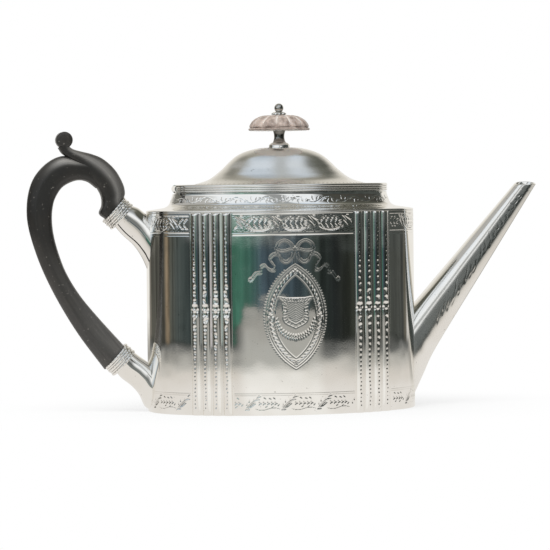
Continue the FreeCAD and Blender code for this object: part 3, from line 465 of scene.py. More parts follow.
# Ruled lines along the bands, by height and width
UPPER_RULES = ((101.9, 0.18), (101.0, 0.17), (92.4, 0.19), (91.2, 0.19))
LOWER_RULES = ((11.3, 0.17), (10.5, 0.16))
end_reach = GIRTH / 4 - REED_REACH
panel_places = (("front_panel", 0.0), ("back_panel", GIRTH / 2))
end_places = (("spout_end", GIRTH / 4), ("handle_end", 3 * GIRTH / 4))
for reach, columns, heights, bold, fine, places in (
        (PANEL_REACH, PANEL_COLUMNS, panel_heights, wreath_cuts(), bow_cuts(), panel_places),
        (end_reach, END_COLUMNS, plain_heights, [], [], end_places)):
    bold = bold + border_band(upper_motif, UPPER_BAND_MIDDLE, UPPER_RULES, -reach, reach)
    fine = fine + border_band(lower_motif, LOWER_BAND_MIDDLE, LOWER_RULES, -reach, reach)
    for patch_name, middle in places:
        add_wall_patch(patch_name, middle, reach, columns, heights, bold, fine)

# Reeds: four groups of four half-round ribs, chased up from the same sheet as the wall, with domed tops.
# Each crown carries a chain of punched pearls that grows towards a rosette at mid height.
REED_RISE = 1.15
REED_HALF = 2.3
BEAD_HALF = (REED_PITCH / 2 - REED_HALF) / 2
BEAD_RISE = 0.28
REED_CURVE = (REED_HALF ** 2 + REED_RISE ** 2) / (2 * REED_RISE)
REED_DOME = 1.6
REED_STEP = 0.32
PUNCH_SHARE = 0.8
EDGE_SHARE = 0.6
ROSETTE_LEVEL = 53.0
CHAIN_SHIFT = -0.25
CHAIN_GAP = 4.8
CHAIN_LOW, CHAIN_HIGH = 4, 99
PEARL_REACH = 30


def pearl_chain(middle):
    """Cuts on one reed's crown: a rosette, punched pearls that shrink away from it, then dots to the ends."""
    strokes = []
    for side in (-1, 1):
        tall_petal = [(middle, ROSETTE_LEVEL + side * away) for away in (0.9, 2.1)]
        side_petal = [(middle + side * 1.2, ROSETTE_LEVEL + away) for away in (-0.3, 0.3)]
        strokes.append(line(tall_petal, 1.6))
        strokes.append(line(side_petal, 0.9))
    for side in (-1, 1):
        level = ROSETTE_LEVEL + side * CHAIN_GAP
        while CHAIN_LOW < level < CHAIN_HIGH:
            share = max(0.0, 1 - abs(level - ROSETTE_LEVEL) / PEARL_REACH)
            half_tall = (0.1 + 0.7 * share) * luck.uniform(0.6, 1.2)
            shift = middle + luck.uniform(-0.3, 0.3)
            wide = (0.32 + 0.85 * share) * luck.uniform(0.7, 1.2)
            lean = luck.uniform(-0.4, 0.4) * share
            strokes.append(line([(shift, level - half_tall), (shift + lean, level + half_tall)], wide))
            level += side * (2.0 + 2.2 * share)
    return strokes


reed_heights = np.concatenate([low_edge, np.arange(EDGE_ROUNDING, WALL_TOP - REED_DOME, REED_STEP),
                               np.linspace(WALL_TOP - REED_DOME, WALL_TOP, 9)])
reed_across = np.concatenate([np.linspace(-REED_PITCH / 2, -REED_HALF, 6)[:-1],
                              np.linspace(-REED_HALF, REED_HALF, 23),
                              np.linspace(REED_HALF, REED_PITCH / 2, 6)[1:-1]])
on_rib = np.minimum(np.abs(reed_across), REED_HALF)
crown = np.sqrt(REED_CURVE ** 2 - on_rib ** 2) - (REED_CURVE - REED_RISE)
reed_along = np.concatenate([reed_across + (reed + 0.5) * REED_PITCH for reed in range(REED_COUNT)]
                            + [[REED_COUNT * REED_PITCH]])
from_edge = np.minimum(reed_along, REED_COUNT * REED_PITCH - reed_along)
edge_bead = BEAD_RISE * np.sqrt(np.clip(1 - (from_edge / BEAD_HALF - 1) ** 2, 0, 1))
reed_rise = np.concatenate([np.tile(crown, REED_COUNT), [0.0]]) + edge_bead
reed_dome = np.sqrt(1 - np.clip((reed_heights - (WALL_TOP - REED_DOME)) / REED_DOME, 0, 1) ** 2)
reed_cuts = sum((pearl_chain((reed + 0.5) * REED_PITCH + CHAIN_SHIFT) for reed in range(REED_COUNT)), [])
reed_depth = engrave(reed_along, reed_heights, reed_cuts)
reed_edges = rounded_edges(reed_heights)[:, None] * EDGE_SHARE
reed_out = reed_rise[None] * reed_dome[:, None] - reed_depth * PUNCH_SHARE - reed_edges
# The pearls are cleanest at mid height; a dark strip is painted along the crown between them in the upper
# part, a painted dark reflection
PEARL_DEPTH = 0.2
PAINTED_STRIP_CUT_DEPTH = 0.02
reed_marks = tarnish(reed_depth, np.interp(reed_heights, [20, 42], [0.6, 0.05])[:, None], PEARL_DEPTH)
from_crown = np.abs(np.mod(reed_along, REED_PITCH) - REED_PITCH / 2 - CHAIN_SHIFT)
painted_strip_across = np.interp(from_crown, [0.9, 1.6], [0.45, 0.0])
painted_strip_up = np.interp(reed_heights, [22, 34, 92, 99], [0, 1, 1, 0])
painted_dark_strip = painted_strip_across[None] * painted_strip_up[:, None]
reed_marks = np.maximum(reed_marks, np.where(reed_depth > PAINTED_STRIP_CUT_DEPTH, 0, painted_dark_strip))
for reed_name, reed_start in (("front_spout_reeds", PANEL_REACH), ("front_handle_reeds", -REED_REACH),
                              ("back_spout_reeds", GIRTH / 2 - REED_REACH),
                              ("back_handle_reeds", GIRTH / 2 + PANEL_REACH)):
    add_piece(reed_name, [skin(wall_grid(reed_start + reed_along, reed_heights, reed_out))], bright_silver,
              "pot", ["body_wall"], {"tarnish_and_painted_dark": reed_marks}, crease=30)

# Base plate and lining: the flat sheet that the pot stands on, and the plain inside of the drum.
# The inside is never polished as hard as the outside, so it is duller and browner.
WALL_GAUGE = 0.9
BASE_GAUGE = 0.9
INNER_CORNER = 0.6
BASE_COLUMNS = 360
dull_silver = sterling("sterling_silver_inside_unpolished", 0.24, 0.2)


def oval_sweep(profile, distances, depth=None):
    """Rows of points for an outline of inset and height carried round the oval; depth cuts into it."""
    profile = np.array(profile, float)
    slope = np.gradient(profile, axis=0)
    slope /= np.linalg.norm(slope, axis=1, keepdims=True) + 1e-9
    rows = []
    for row, (inset, height) in enumerate(profile):
        place, facing = on_oval(distances, inset)
        sunk = np.zeros(len(distances)) if depth is None else depth[row]
        flat = place - facing * (sunk * slope[row, 1])[:, None]
        rows.append(np.concatenate([flat, (height - sunk * slope[row, 0])[:, None]], axis=1))
    return np.array(rows)


def oval_fan(inset, level, distances, inward):
    """Rows of points that close an oval outline, from its edge to its middle or the other way."""
    place, facing = on_oval(distances, inset)
    shares = np.linspace(1, 0, 9) if inward else np.linspace(0, 1, 9)
    fan = place[None] * shares[:, None, None]
    return np.concatenate([fan, np.full(fan.shape[:2] + (1,), level)], axis=-1)


round_trip = np.linspace(0, GIRTH, BASE_COLUMNS, endpoint=False)
underside = oval_fan(EDGE_ROUNDING, 0.0, round_trip, inward=False)
add_piece("base_underside", [skin(underside, wrap=True)], dull_silver, "pot", ["base_plate"],
          crease=50)
STRAINER_HALF = 10.4
STRAINER_LOW, STRAINER_HIGH = 9.6, 42.6
STRAINER_COLUMNS, LINING_COLUMNS = 24, 320
LINING_TOP = 101.0
OPENING_MARGIN = 0.4
lining_levels = np.concatenate([[WALL_TOP], np.linspace(LINING_TOP, STRAINER_HIGH, 20),
                                [STRAINER_LOW, BASE_GAUGE + INNER_CORNER, BASE_GAUGE]])
lining_insets = np.where(lining_levels == BASE_GAUGE, WALL_GAUGE + INNER_CORNER, WALL_GAUGE)
strainer_trip = np.linspace(GIRTH / 4 - STRAINER_HALF, GIRTH / 4 + STRAINER_HALF, STRAINER_COLUMNS)
plain_trip = np.linspace(GIRTH / 4 + STRAINER_HALF, GIRTH * 1.25 - STRAINER_HALF, LINING_COLUMNS)
lining_trip = np.concatenate([strainer_trip, plain_trip[1:-1]])
lining_points, lining_quads = skin(
    oval_sweep(np.stack([lining_insets, lining_levels], axis=-1), lining_trip), wrap=True)
# The lining is left open where the strainer stands, by the middles of its faces
middle_x, middle_y, middle_z = lining_points[lining_quads].mean(axis=1).T
opening_half = END_RADIUS * math.sin(STRAINER_HALF / END_RADIUS) - OPENING_MARGIN
behind_spout = ((middle_x > END_CENTRE) & (middle_z > STRAINER_LOW) & (middle_z < STRAINER_HIGH)
                & (np.abs(middle_y) < opening_half))
floor_inside = skin(oval_fan(WALL_GAUGE + INNER_CORNER, BASE_GAUGE, lining_trip, inward=True), wrap=True)
add_piece("body_lining", [(lining_points, lining_quads[~behind_spout]), floor_inside], dull_silver, "pot",
          ["base_plate"], crease=50)

# Strainer: the wall behind the spout is drilled with staggered rows of holes that hold back the leaves.
# The plate is drilled by a node tree: rows of drills are instanced on two grids and cut from the sheet.
STRAINER_PITCH = 5.0
STRAINER_FOOT = 13.0
HOLE_RADIUS = 1.3
HOLE_SIDES = 16
DRILL_LENGTH = 6.0
PLATE_SINK = 0.04
PLATE_SHAPE = (3, 21)
plate_along = np.linspace(-STRAINER_HALF, STRAINER_HALF, PLATE_SHAPE[1]) + GIRTH / 4
plate_up = np.linspace(STRAINER_LOW, STRAINER_HIGH, PLATE_SHAPE[0])
plate_outer = wall_grid(plate_along, plate_up, np.full(PLATE_SHAPE, -PLATE_SINK))
plate_inner = wall_grid(plate_along, plate_up, np.full(PLATE_SHAPE, -WALL_GAUGE))
plate_skins = [skin(np.concatenate([plate_outer, plate_inner[::-1], plate_outer[:1]]))]
plate_skins += [skin(np.stack([plate_outer[:, edge], plate_inner[:, edge]])) for edge in (0, -1)]


def drilled_plate_tree(finish):
    """Node tree: two staggered grids of drills are cut from the sheet that comes in."""
    tree = bpy.data.node_groups.new("drilled_strainer", "GeometryNodeTree")
    tree.interface.new_socket("Sheet", in_out="INPUT", socket_type="NodeSocketGeometry")
    for label in ("Hole radius", "Pitch", "Foot", "Middle"):
        tree.interface.new_socket(label, in_out="INPUT", socket_type="NodeSocketFloat")
    tree.interface.new_socket("Plate", in_out="OUTPUT", socket_type="NodeSocketGeometry")
    given = add_node(tree, "NodeGroupInput").outputs
    to_level = (0.0, math.pi / 2, 0.0)
    run = add_node(tree, "ShaderNodeMath", {0: given["Pitch"], 1: 4.0}, operation="MULTIPLY")
    drill = add_node(tree, "GeometryNodeMeshCylinder", {
        "Vertices": HOLE_SIDES, "Radius": given["Hole radius"], "Depth": DRILL_LENGTH * MM})
    drills = add_node(tree, "GeometryNodeJoinGeometry")
    # Rows of three and of four holes take turns upwards, one pitch apart
    for count in (3, 4):
        width = add_node(tree, "ShaderNodeMath", {0: given["Pitch"], 1: count - 1.0}, operation="MULTIPLY")
        grid = add_node(tree, "GeometryNodeMeshGrid", {
            "Size X": run, "Size Y": width, "Vertices X": 3, "Vertices Y": count})
        rise = add_node(tree, "ShaderNodeMath", {0: width, 1: given["Foot"]}, operation="ADD")
        spot = add_node(tree, "ShaderNodeCombineXYZ", {"X": given["Middle"], "Z": rise})
        upright = add_node(tree, "GeometryNodeTransform", {
            "Geometry": grid, "Translation": spot, "Rotation": to_level})
        placed = add_node(tree, "GeometryNodeInstanceOnPoints", {
            "Points": upright, "Instance": drill, "Rotation": to_level})
        fill(tree, drills, {0: placed})
    solid_drills = add_node(tree, "GeometryNodeRealizeInstances", {"Geometry": drills})
    cut_plate = add_node(tree, "GeometryNodeMeshBoolean", {
        "Mesh 1": given["Sheet"], "Mesh 2": solid_drills}, operation="DIFFERENCE")
    plain = add_node(tree, "GeometryNodeRealizeInstances", {"Geometry": cut_plate})
    dressed = add_node(tree, "GeometryNodeSetMaterial", {"Geometry": plain, "Material": finish})
    add_node(tree, "NodeGroupOutput", {0: dressed})
    return tree


def grow(name, tree, sizes, source_mesh):
    """The plain mesh that a node tree makes from a source mesh, with named input values."""
    source = bpy.data.objects.new(name + "_source", source_mesh)
    bpy.context.scene.collection.objects.link(source)
    modifier = source.modifiers.new(name, "NODES")
    modifier.node_group = tree
    for socket in tree.interface.items_tree:
        if socket.in_out == "INPUT" and socket.name in sizes:
            modifier[socket.identifier] = sizes[socket.name]
    result = bpy.data.meshes.new_from_object(source.evaluated_get(bpy.context.evaluated_depsgraph_get()))
    source.modifiers.remove(modifier)
    bpy.data.objects.remove(source)
    result.name = name
    return result


strainer_sizes = {"Hole radius": HOLE_RADIUS * MM, "Pitch": STRAINER_PITCH * MM, "Foot": STRAINER_FOOT * MM,
                  "Middle": (HALF_LENGTH - WALL_GAUGE / 2) * MM}
strainer_sheet = join_skins("strainer_sheet", plate_skins, closed=True)
strainer = grow("strainer", drilled_plate_tree(dull_silver), strainer_sizes, strainer_sheet)
dress(strainer, dull_silver, "pot", ["body_wall"], crease=30)

# Shoulder: a near-flat top sheet soldered to the wall, swept up through a hollow into a short neck.
# A cut vine runs round the neck; the hinge end of the neck is filed lower for the knuckles.
LEDGE_FOOT = 103.64
LEDGE_INSET, LEDGE_LEVEL = 9.6, 105.1
COVE_RUN = 4.2
NECK_INSET = LEDGE_INSET + COVE_RUN
NECK_TOP = 112.7
NECK_GAUGE = 0.8
HINGE_RELIEF = 10.6
RELIEF_LEVEL = 112.1
RELIEF_START = -52.15
VINE_SWING, VINE_SWAY = 16, 1.5
VINE_RISE = 5.6
VINE_DEPTH = 1.6
VINE_TARNISH = 0.05
# Outlines of inset and height: the soldered edge and the ledge, the hollow, the lip and the underside
ledge = [(0.05, 102.7), (0.0, 102.95), (0.0, 103.3), (0.12, 103.52), (0.4, LEDGE_FOOT)]
for inset in np.linspace(1.2, LEDGE_INSET - 1.2, 7):
    ledge.append((inset, LEDGE_FOOT + (LEDGE_LEVEL - LEDGE_FOOT) * inset / LEDGE_INSET))
cove = smooth_line([(LEDGE_INSET - 0.4, LEDGE_LEVEL - 0.06), (10.7, 105.7), (11.7, 106.5), (12.3, 107.4),
                    (12.75, 108.6), (13.25, 110.0), (13.75, 111.5), (NECK_INSET, 112.2)], 6).tolist()
neck_lip = [(NECK_INSET, NECK_TOP - 0.15), (NECK_INSET + 0.15, NECK_TOP), (NECK_INSET + NECK_GAUGE, NECK_TOP)]
under = [(NECK_INSET + NECK_GAUGE, 109.0), (NECK_INSET - 1.0, 105.6), (LEDGE_INSET, 104.2),
         (WALL_GAUGE, 102.7)]
shoulder_outline = np.array(ledge + cove + neck_lip + under)
shoulder_trip = np.linspace(0, GIRTH, 1300, endpoint=False)


def run_along(points):
    """Distance of each point of a line from the first one, along the line."""
    return np.concatenate([[0], np.cumsum(np.linalg.norm(np.diff(points, axis=0), axis=1))])


def vine(length, middle):
    """A wavy stem with a few small leaves on each side of every swing."""
    swings = round(length / VINE_SWING)
    pitch = length / swings
    run = np.arange(0, length, 0.7)
    strokes = [line([(r, middle + VINE_SWAY * math.sin(2 * math.pi * r / pitch)) for r in run], 0.18)]
    for swing in range(2 * swings):
        root = (swing + 0.5) * pitch / 2
        side = 1 if swing % 2 else -1
        for step, size in ((-2.4, 1.8), (-0.9, 2.8), (0.7, 2.5), (2.2, 1.9)):
            angle = side * (2.2 - 0.5 * step)
            strokes.append(leaf(root + step, middle - side * 0.4, angle, size, 0.14, 0.22 * side))
    return strokes


neck_run = run_along(on_oval(shoulder_trip, NECK_INSET)[0])
outline_run = run_along(shoulder_outline)
vine_middle = outline_run[len(ledge)] + VINE_RISE
vine_depth = engrave(neck_run, outline_run, vine(neck_run[-1] + neck_run[1], vine_middle))
vine_depth[len(ledge + cove):] = 0
shoulder_points = oval_sweep(shoulder_outline, shoulder_trip, vine_depth * VINE_DEPTH)
lowered = ((shoulder_points[..., 0] < RELIEF_START) & (np.abs(shoulder_points[..., 1]) < HINGE_RELIEF)
           & (shoulder_points[..., 2] > RELIEF_LEVEL))
shoulder_points[..., 2] = np.where(lowered, RELIEF_LEVEL, shoulder_points[..., 2])
add_piece("shoulder_and_neck", [skin(shoulder_points, wrap=True)], bright_silver, "pot",
          ["shoulder"], {"tarnish_and_painted_dark": tarnish(vine_depth, VINE_TARNISH)}, crease=30)

# Spout: a straight tapered tube of oval section, cut level at the lip and soldered over the strainer.
# Each long line of it ends where it meets the wall, so nothing of it stands inside the drum.
SPOUT_GAUGE = 0.8
SPOUT_COLUMNS, SPOUT_ROWS, SPOUT_INNER_ROWS = 160, 300, 40
LOFT_STEPS = 40
SPOUT_FULLNESS = 2.6
LIP_END = 136.98
LIP_MIDDLE, LIP_LEVEL = 131.3, 116.06
LIP_BOW, LIP_TILT = 0.012, 0.17
LIP_FALL, LIP_CORNER_FALL = 0.2, 0.06
WALL_SINK = 0.12
worn_silver = sterling("sterling_silver_worn_by_wiping", 0.13, 0.16, 0.5)
# Upper x and z, lower x and z, half width, from the lip to the root
SPOUT_KNOTS = ((127.82, 118.22, 139.18, 119.08, 4.37), (97.8, 84.15, 109.7, 73.5, 7.5),
               (70.0, 52.6, 82.4, 31.3, 10.5), (63.5, 45.2, 74.4, 15.7, 11.6), (58.0, 39.0, 68.0, 2.2, 12.2))


def oval_gap(x, y):
    """Distance from the drum's oval, negative inside it."""
    past_end = np.abs(x) - END_CENTRE
    at_end = (past_end > 0) & (np.abs(y) <= past_end * math.tan(MEETING))
    side_gap = np.hypot(x, np.abs(y) + SIDE_CENTRE) - SIDE_RADIUS
    return np.where(at_end, np.hypot(past_end, y) - END_RADIUS, side_gap)


def round_section(columns, fullness=2.0):
    """A full turn of up and side shares for the section of a tube; 2 is round, more is flatter-sided."""
    turn = np.linspace(0, 2 * math.pi, columns, endpoint=False)
    circle = np.stack([np.cos(turn), np.sin(turn)], axis=-1)
    return circle / (np.abs(circle) ** fullness).sum(axis=1, keepdims=True) ** (1 / fullness)


def loft(knots, section, inset=0.0):
    """Lines along a tube whose section is stretched between an upper and a lower point."""
    stations = smooth_line(knots, LOFT_STEPS)
    middle = (stations[:, 0:2] + stations[:, 2:4]) / 2
    half = (stations[:, 0:2] - stations[:, 2:4]) / 2
    half *= (1 - inset / np.linalg.norm(half, axis=1))[:, None]
    up, side = section.T
    x = middle[:, 0:1] + half[:, 0:1] * up
    z = middle[:, 1:2] + half[:, 1:2] * up
    y = (stations[:, 4:5] - inset) * side
    return np.stack([x, y, z], axis=-1)


def resample(lines, firsts, lasts, rows):
    """Share the points of each line evenly between two places on it, given as fractional indices."""
    result = np.zeros((rows, lines.shape[1], 3))
    for column, (first, last) in enumerate(zip(firsts, lasts)):
        spots = np.linspace(first, last, rows)
        for axis in range(3):
            result[:, column, axis] = np.interp(spots, np.arange(len(lines)), lines[:, column, axis])
    return result


def crossing(gap):
    """Fractional index at which each column of a gap first turns negative."""
    after = np.argmax(gap < 0, axis=0)
    after = np.where((gap < 0).any(axis=0), after, len(gap) - 1)
    columns = np.arange(gap.shape[1])
    before_gap, after_gap = gap[after - 1, columns], gap[after, columns]
    return after - 1 + np.clip(before_gap / (before_gap - after_gap), 0, 1)


def end_on_wall(lines, rows, firsts=0.0):
    """Cut each line where it enters the drum and share its points evenly up to there."""
    lasts = crossing(oval_gap(lines[..., 0], lines[..., 1]) + WALL_SINK)
    return resample(lines, np.broadcast_to(firsts, lasts.shape), lasts, rows)


def lip_level(x, y):
    """Height of the spout's worn lip: a little bowed, and lower on the near side."""
    return LIP_LEVEL - LIP_BOW * (x - LIP_MIDDLE) ** 2 + LIP_TILT * y


def spout_lines(inset, rows):
    """Lines of the spout's skin from the lip to the wall."""
    lines = loft(SPOUT_KNOTS, round_section(SPOUT_COLUMNS, SPOUT_FULLNESS), inset)
    firsts = crossing(lines[..., 2] - lip_level(lines[..., 0], lines[..., 1]))
    return end_on_wall(lines, rows, firsts)


spout_outer = spout_lines(0.0, SPOUT_ROWS)
spout_outer[..., 0] = np.minimum(spout_outer[..., 0], LIP_END)
spout_inner = spout_lines(SPOUT_GAUGE, SPOUT_INNER_ROWS)
# The lip is worn round: highest along its middle, falling away to both edges
lip = (spout_outer[0] + spout_inner[0]) / 2
spout_lip = np.stack([spout_inner[0] * 0.7 + lip * 0.3, lip, spout_outer[0] * 0.7 + lip * 0.3])
spout_lip[[0, 2], :, 2] -= LIP_CORNER_FALL
spout_outer[0, :, 2] -= LIP_FALL
spout_inner[0, :, 2] -= LIP_FALL
# The engraver's plan of the spout, by distance round it and from the lip: a line round the lip and a
# spray of leaves down each side that opens as the spout widens
SPOUT_ROUND, SPOUT_RUN = 30, 105
DOWN_SPOUT = 1.57
SPOUT_CUT_SHARE = 0.8
SPOUT_CUT_DEPTH, SPOUT_TARNISH = 0.15, 0.4
spout_cuts = [line([(place, 2.2) for place in np.linspace(0.3, SPOUT_ROUND - 0.3, 24)], 0.16)]
for centre, away in ((8.4, 1), (21.6, -1)):
    for reach in np.cumsum(np.linspace(1.9, 3.6, 19)) + 2.4:
        for lean in (0.2, 1.0):
            heading = DOWN_SPOUT + away * lean + luck.uniform(-0.4, 0.4)
            root = centre + luck.uniform(-0.6, 0.6)
            spout_cuts.append(leaf(root, reach, heading, luck.uniform(1.4, 2.4), 0.24, 0.1))
        root = centre - away * luck.uniform(0.4, 1.2)
        spout_cuts.append(leaf(root, reach, DOWN_SPOUT - away * 0.7, 1.5, 0.22, 0.1))
spout_depth = engrave(np.linspace(0, SPOUT_ROUND, SPOUT_COLUMNS), np.linspace(0, SPOUT_RUN, SPOUT_ROWS),
                      spout_cuts)
around = np.roll(spout_outer, -1, axis=1) - np.roll(spout_outer, 1, axis=1)
forward = np.gradient(spout_outer, axis=0)
spout_facing = np.cross(around, forward)
spout_facing /= np.linalg.norm(spout_facing, axis=-1, keepdims=True) + 1e-9
spout_cut = spout_outer - spout_facing * spout_depth[..., None] * SPOUT_CUT_SHARE
spout_rows = np.concatenate([spout_inner[::-1], spout_lip, spout_cut])
spout_marks = np.zeros(spout_rows.shape[:2])
spout_marks[-SPOUT_ROWS:] = tarnish(spout_depth, SPOUT_TARNISH, SPOUT_CUT_DEPTH)
add_piece("spout_tube", [skin(spout_rows, wrap=True)], worn_silver, "pot", ["spout"],
          {"tarnish_and_painted_dark": spout_marks}, crease=50)

# Handle sockets: two tapered tubes soldered to the other end of the drum, each with a reeded collar at
# its mouth. A silver pin through each collar holds the tenon of the wooden handle.
SOCKET_SLOPE = math.radians(42)
SOCKET_AXIS = np.array([math.cos(SOCKET_SLOPE), -math.sin(SOCKET_SLOPE)])
SOCKET_ACROSS = np.array([math.sin(SOCKET_SLOPE), math.cos(SOCKET_SLOPE)])
SLEEVE_RADIUS = 6.4
TAPER_RADIUS = 6.9
TAPER_COLUMNS, TAPER_ROWS = 96, 60
COLLAR_LENGTH = 6.5
COLLAR_BASE = 7.8
COLLAR_SHIFT = 0.9
COLLAR_COLUMNS = 216
COLLAR_TARNISH = 0.6
# Start, length and rise of the beads along a collar
COLLAR_BEADS = ((0.0, 1.4, 0.75), (1.4, 1.1, 0.525), (2.5, 1.5, 0.75), (4.0, 1.1, 0.525), (5.1, 1.4, 0.75))
BEAD_FOOT = 0.3
ROPE_DEPTH = 0.3
ROPE_TURNS = 26
ROPE_TWIST = 2.0
PIN_HEAD_PLACE = (-82.6, 106.3)
PIN_HEAD_OUT = 7.1
PIN_COLUMNS = 24
# Upper x and z, lower x and z, half width, from the collar to inside the wall
UPPER_TAPER = ((-77.37, 106.48, -86.61, 96.22, 6.9), (-74.2, 105.2, -82.5, 91.5, 7.1),
               (-71.8, 103.4, -76.9, 86.2, 7.4), (-69.8, 101.8, -73.3, 81.0, 7.8),
               (-67.5, 100.2, -70.8, 75.8, 8.3), (-65.0, 98.5, -68.3, 69.5, 8.8))
LOWER_TAPER = ((-77.37, 30.98, -86.61, 20.72, 6.9), (-74.8, 28.9, -84.0, 17.6, 7.1),
               (-72.0, 26.9, -78.9, 13.5, 7.4), (-69.9, 25.3, -75.0, 8.9, 7.8),
               (-67.5, 23.7, -72.1, 2.8, 8.3), (-65.0, 22.0, -68.5, 0.6, 8.8))
# Radius and distance along the outline of a collar
collar_outline = [(SLEEVE_RADIUS, 0.0), (COLLAR_BASE - 0.15, 0.0)]
for bead_start, bead_length, bead_rise in COLLAR_BEADS:
    for turn in np.linspace(0.1, math.pi - 0.1, 7):
        along = bead_start + bead_length * (1 - math.cos(turn)) / 2
        collar_outline.append((COLLAR_BASE + bead_rise * math.sin(turn), along))
collar_outline.append((TAPER_RADIUS - 1.5, COLLAR_LENGTH))
collar_turn = np.linspace(0, 2 * math.pi, COLLAR_COLUMNS, endpoint=False)
between_beads = [max(0.0, COLLAR_BASE + BEAD_FOOT - radius) / BEAD_FOOT for radius, along in collar_outline]
collar_marks = np.repeat(np.clip(between_beads, 0, 1) * COLLAR_TARNISH, COLLAR_COLUMNS)
for socket_name, mouth, taper in (("upper", np.array([-86.6, 105.5]), UPPER_TAPER),
                                  ("lower", np.array([-86.6, 30.0]), LOWER_TAPER)):
    socket_skin = end_on_wall(loft(taper, round_section(TAPER_COLUMNS)), TAPER_ROWS)
    add_piece(f"{socket_name}_socket_taper", [skin(socket_skin, wrap=True)], bright_silver, "pot",
              [f"{socket_name}_socket"], crease=50)
    collar_rows = []
    for radius, along in collar_outline:
        centre = mouth + SOCKET_AXIS * along - SOCKET_ACROSS * COLLAR_SHIFT
        rope_cut = ROPE_DEPTH * max(0.0, radius - COLLAR_BASE - BEAD_FOOT)
        ring = radius - rope_cut * (1 + np.cos(ROPE_TURNS * collar_turn + ROPE_TWIST * along))
        spread = centre[None] + SOCKET_ACROSS[None] * (ring * np.cos(collar_turn))[:, None]
        collar_rows.append(np.stack([spread[:, 0], ring * np.sin(collar_turn), spread[:, 1]], axis=-1))
    add_piece(f"{socket_name}_collar_ring", [skin(np.array(collar_rows), wrap=True)], worn_silver, "pot",
              [f"{socket_name}_collar"], {"tarnish_and_painted_dark": collar_marks}, crease=35)


def cross_ring(centre, radius, across, columns):
    """A ring of points round an axis that runs across the pot; centre is its x and z."""
    circle = radius * round_section(columns)
    return np.stack([centre[0] + circle[:, 0], np.full(columns, across), centre[1] + circle[:, 1]], axis=-1)


def refinish(nodes, finish):
    """Give CAD nodes that stay in sight a finish."""
    for node in nodes:
        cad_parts[node].data.materials.clear()
        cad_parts[node].data.materials.append(finish)


pin_skins = []
for side in (-1, 1):
    rings = [cross_ring(PIN_HEAD_PLACE, radius, side * (PIN_HEAD_OUT + rise), PIN_COLUMNS)
             for radius, rise in ((1.0, -0.6), (1.0, 0.1), (0.85, 0.35), (0.5, 0.5), (0.0, 0.55))]
    pin_skins.append(skin(np.array(rings)[:, ::-side], wrap=True))
add_piece("upper_pin_heads", pin_skins, worn_silver, "pot", crease=50)
refinish(("upper_handle_pin", "lower_handle_pin"), bright_silver)

# Handle: one carved piece of ebonised pearwood with tenons in both sockets, waxed to a satin black.
# The front limb runs up and over the back limb into a rolled thumbpiece.
# Outer x and z, inner x and z, half width: the front limb from its socket to the scroll
FRONT_KNOTS = ((-81.9, 109.9, -91.0, 99.6, 6.4), (-80.9, 113.2, -94.4, 102.6, 6.5),
               (-82.0, 118.2, -93.1, 106.8, 6.4), (-85.9, 125.1, -93.4, 111.6, 6.5),
               (-91.8, 130.6, -95.9, 116.5, 6.5), (-97.5, 133.2, -99.5, 121.5, 6.3),
               (-103.2, 134.7, -104.4, 127.6, 5.8), (-107.0, 135.8, -109.3, 131.0, 5.3),
               (-109.0, 137.2, -113.1, 133.6, 5.0), (-109.0, 139.2, -115.2, 136.6, 5.0))
# The same for the back limb, from inside the front limb down to the lower socket
BACK_KNOTS = ((-92.5, 128.5, -95.9, 115.7, 5.5), (-99.5, 130.8, -99.9, 118.8, 6.2),
              (-106.0, 131.6, -104.2, 119.9, 6.5), (-113.4, 132.4, -108.7, 119.0, 6.6),
              (-120.3, 129.4, -113.6, 116.1, 6.5), (-126.3, 123.6, -117.1, 110.7, 6.4),
              (-129.8, 116.8, -118.5, 105.2, 6.3), (-131.5, 108.2, -118.8, 99.0, 6.2),
              (-131.3, 98.4, -118.0, 91.6, 6.0), (-128.5, 86.6, -115.7, 82.6, 5.7),
              (-123.4, 72.6, -111.6, 71.8, 5.3), (-115.9, 57.2, -104.6, 60.2, 5.2),
              (-106.0, 40.6, -95.4, 48.8, 5.6), (-94.2, 24.3, -84.4, 36.4, 6.4),
              (-92.6, 22.2, -82.6, 34.2, 6.4))
# Half of the carved section from the outer edge to the inner one: a bevel, a ridge and a flat side
LIMB_OUTLINE = smooth_line(((1.0, 0.0), (0.98, 0.18), (0.9, 0.4), (0.72, 0.66), (0.44, 0.93), (0.32, 0.985),
                            (0.1, 1.0), (-0.35, 1.0), (-0.7, 0.95), (-0.9, 0.78), (-0.99, 0.42),
                            (-1.0, 0.0)), 4)
LIMB_SECTION = np.concatenate([LIMB_OUTLINE, LIMB_OUTLINE[-2:0:-1] * [1, -1]])
ROLL_CENTRE = (-112.0, 140.6)
ROLL_RADIUS = 4.25
ROLL_HALF = 5.0
ROLL_COLUMNS = 48


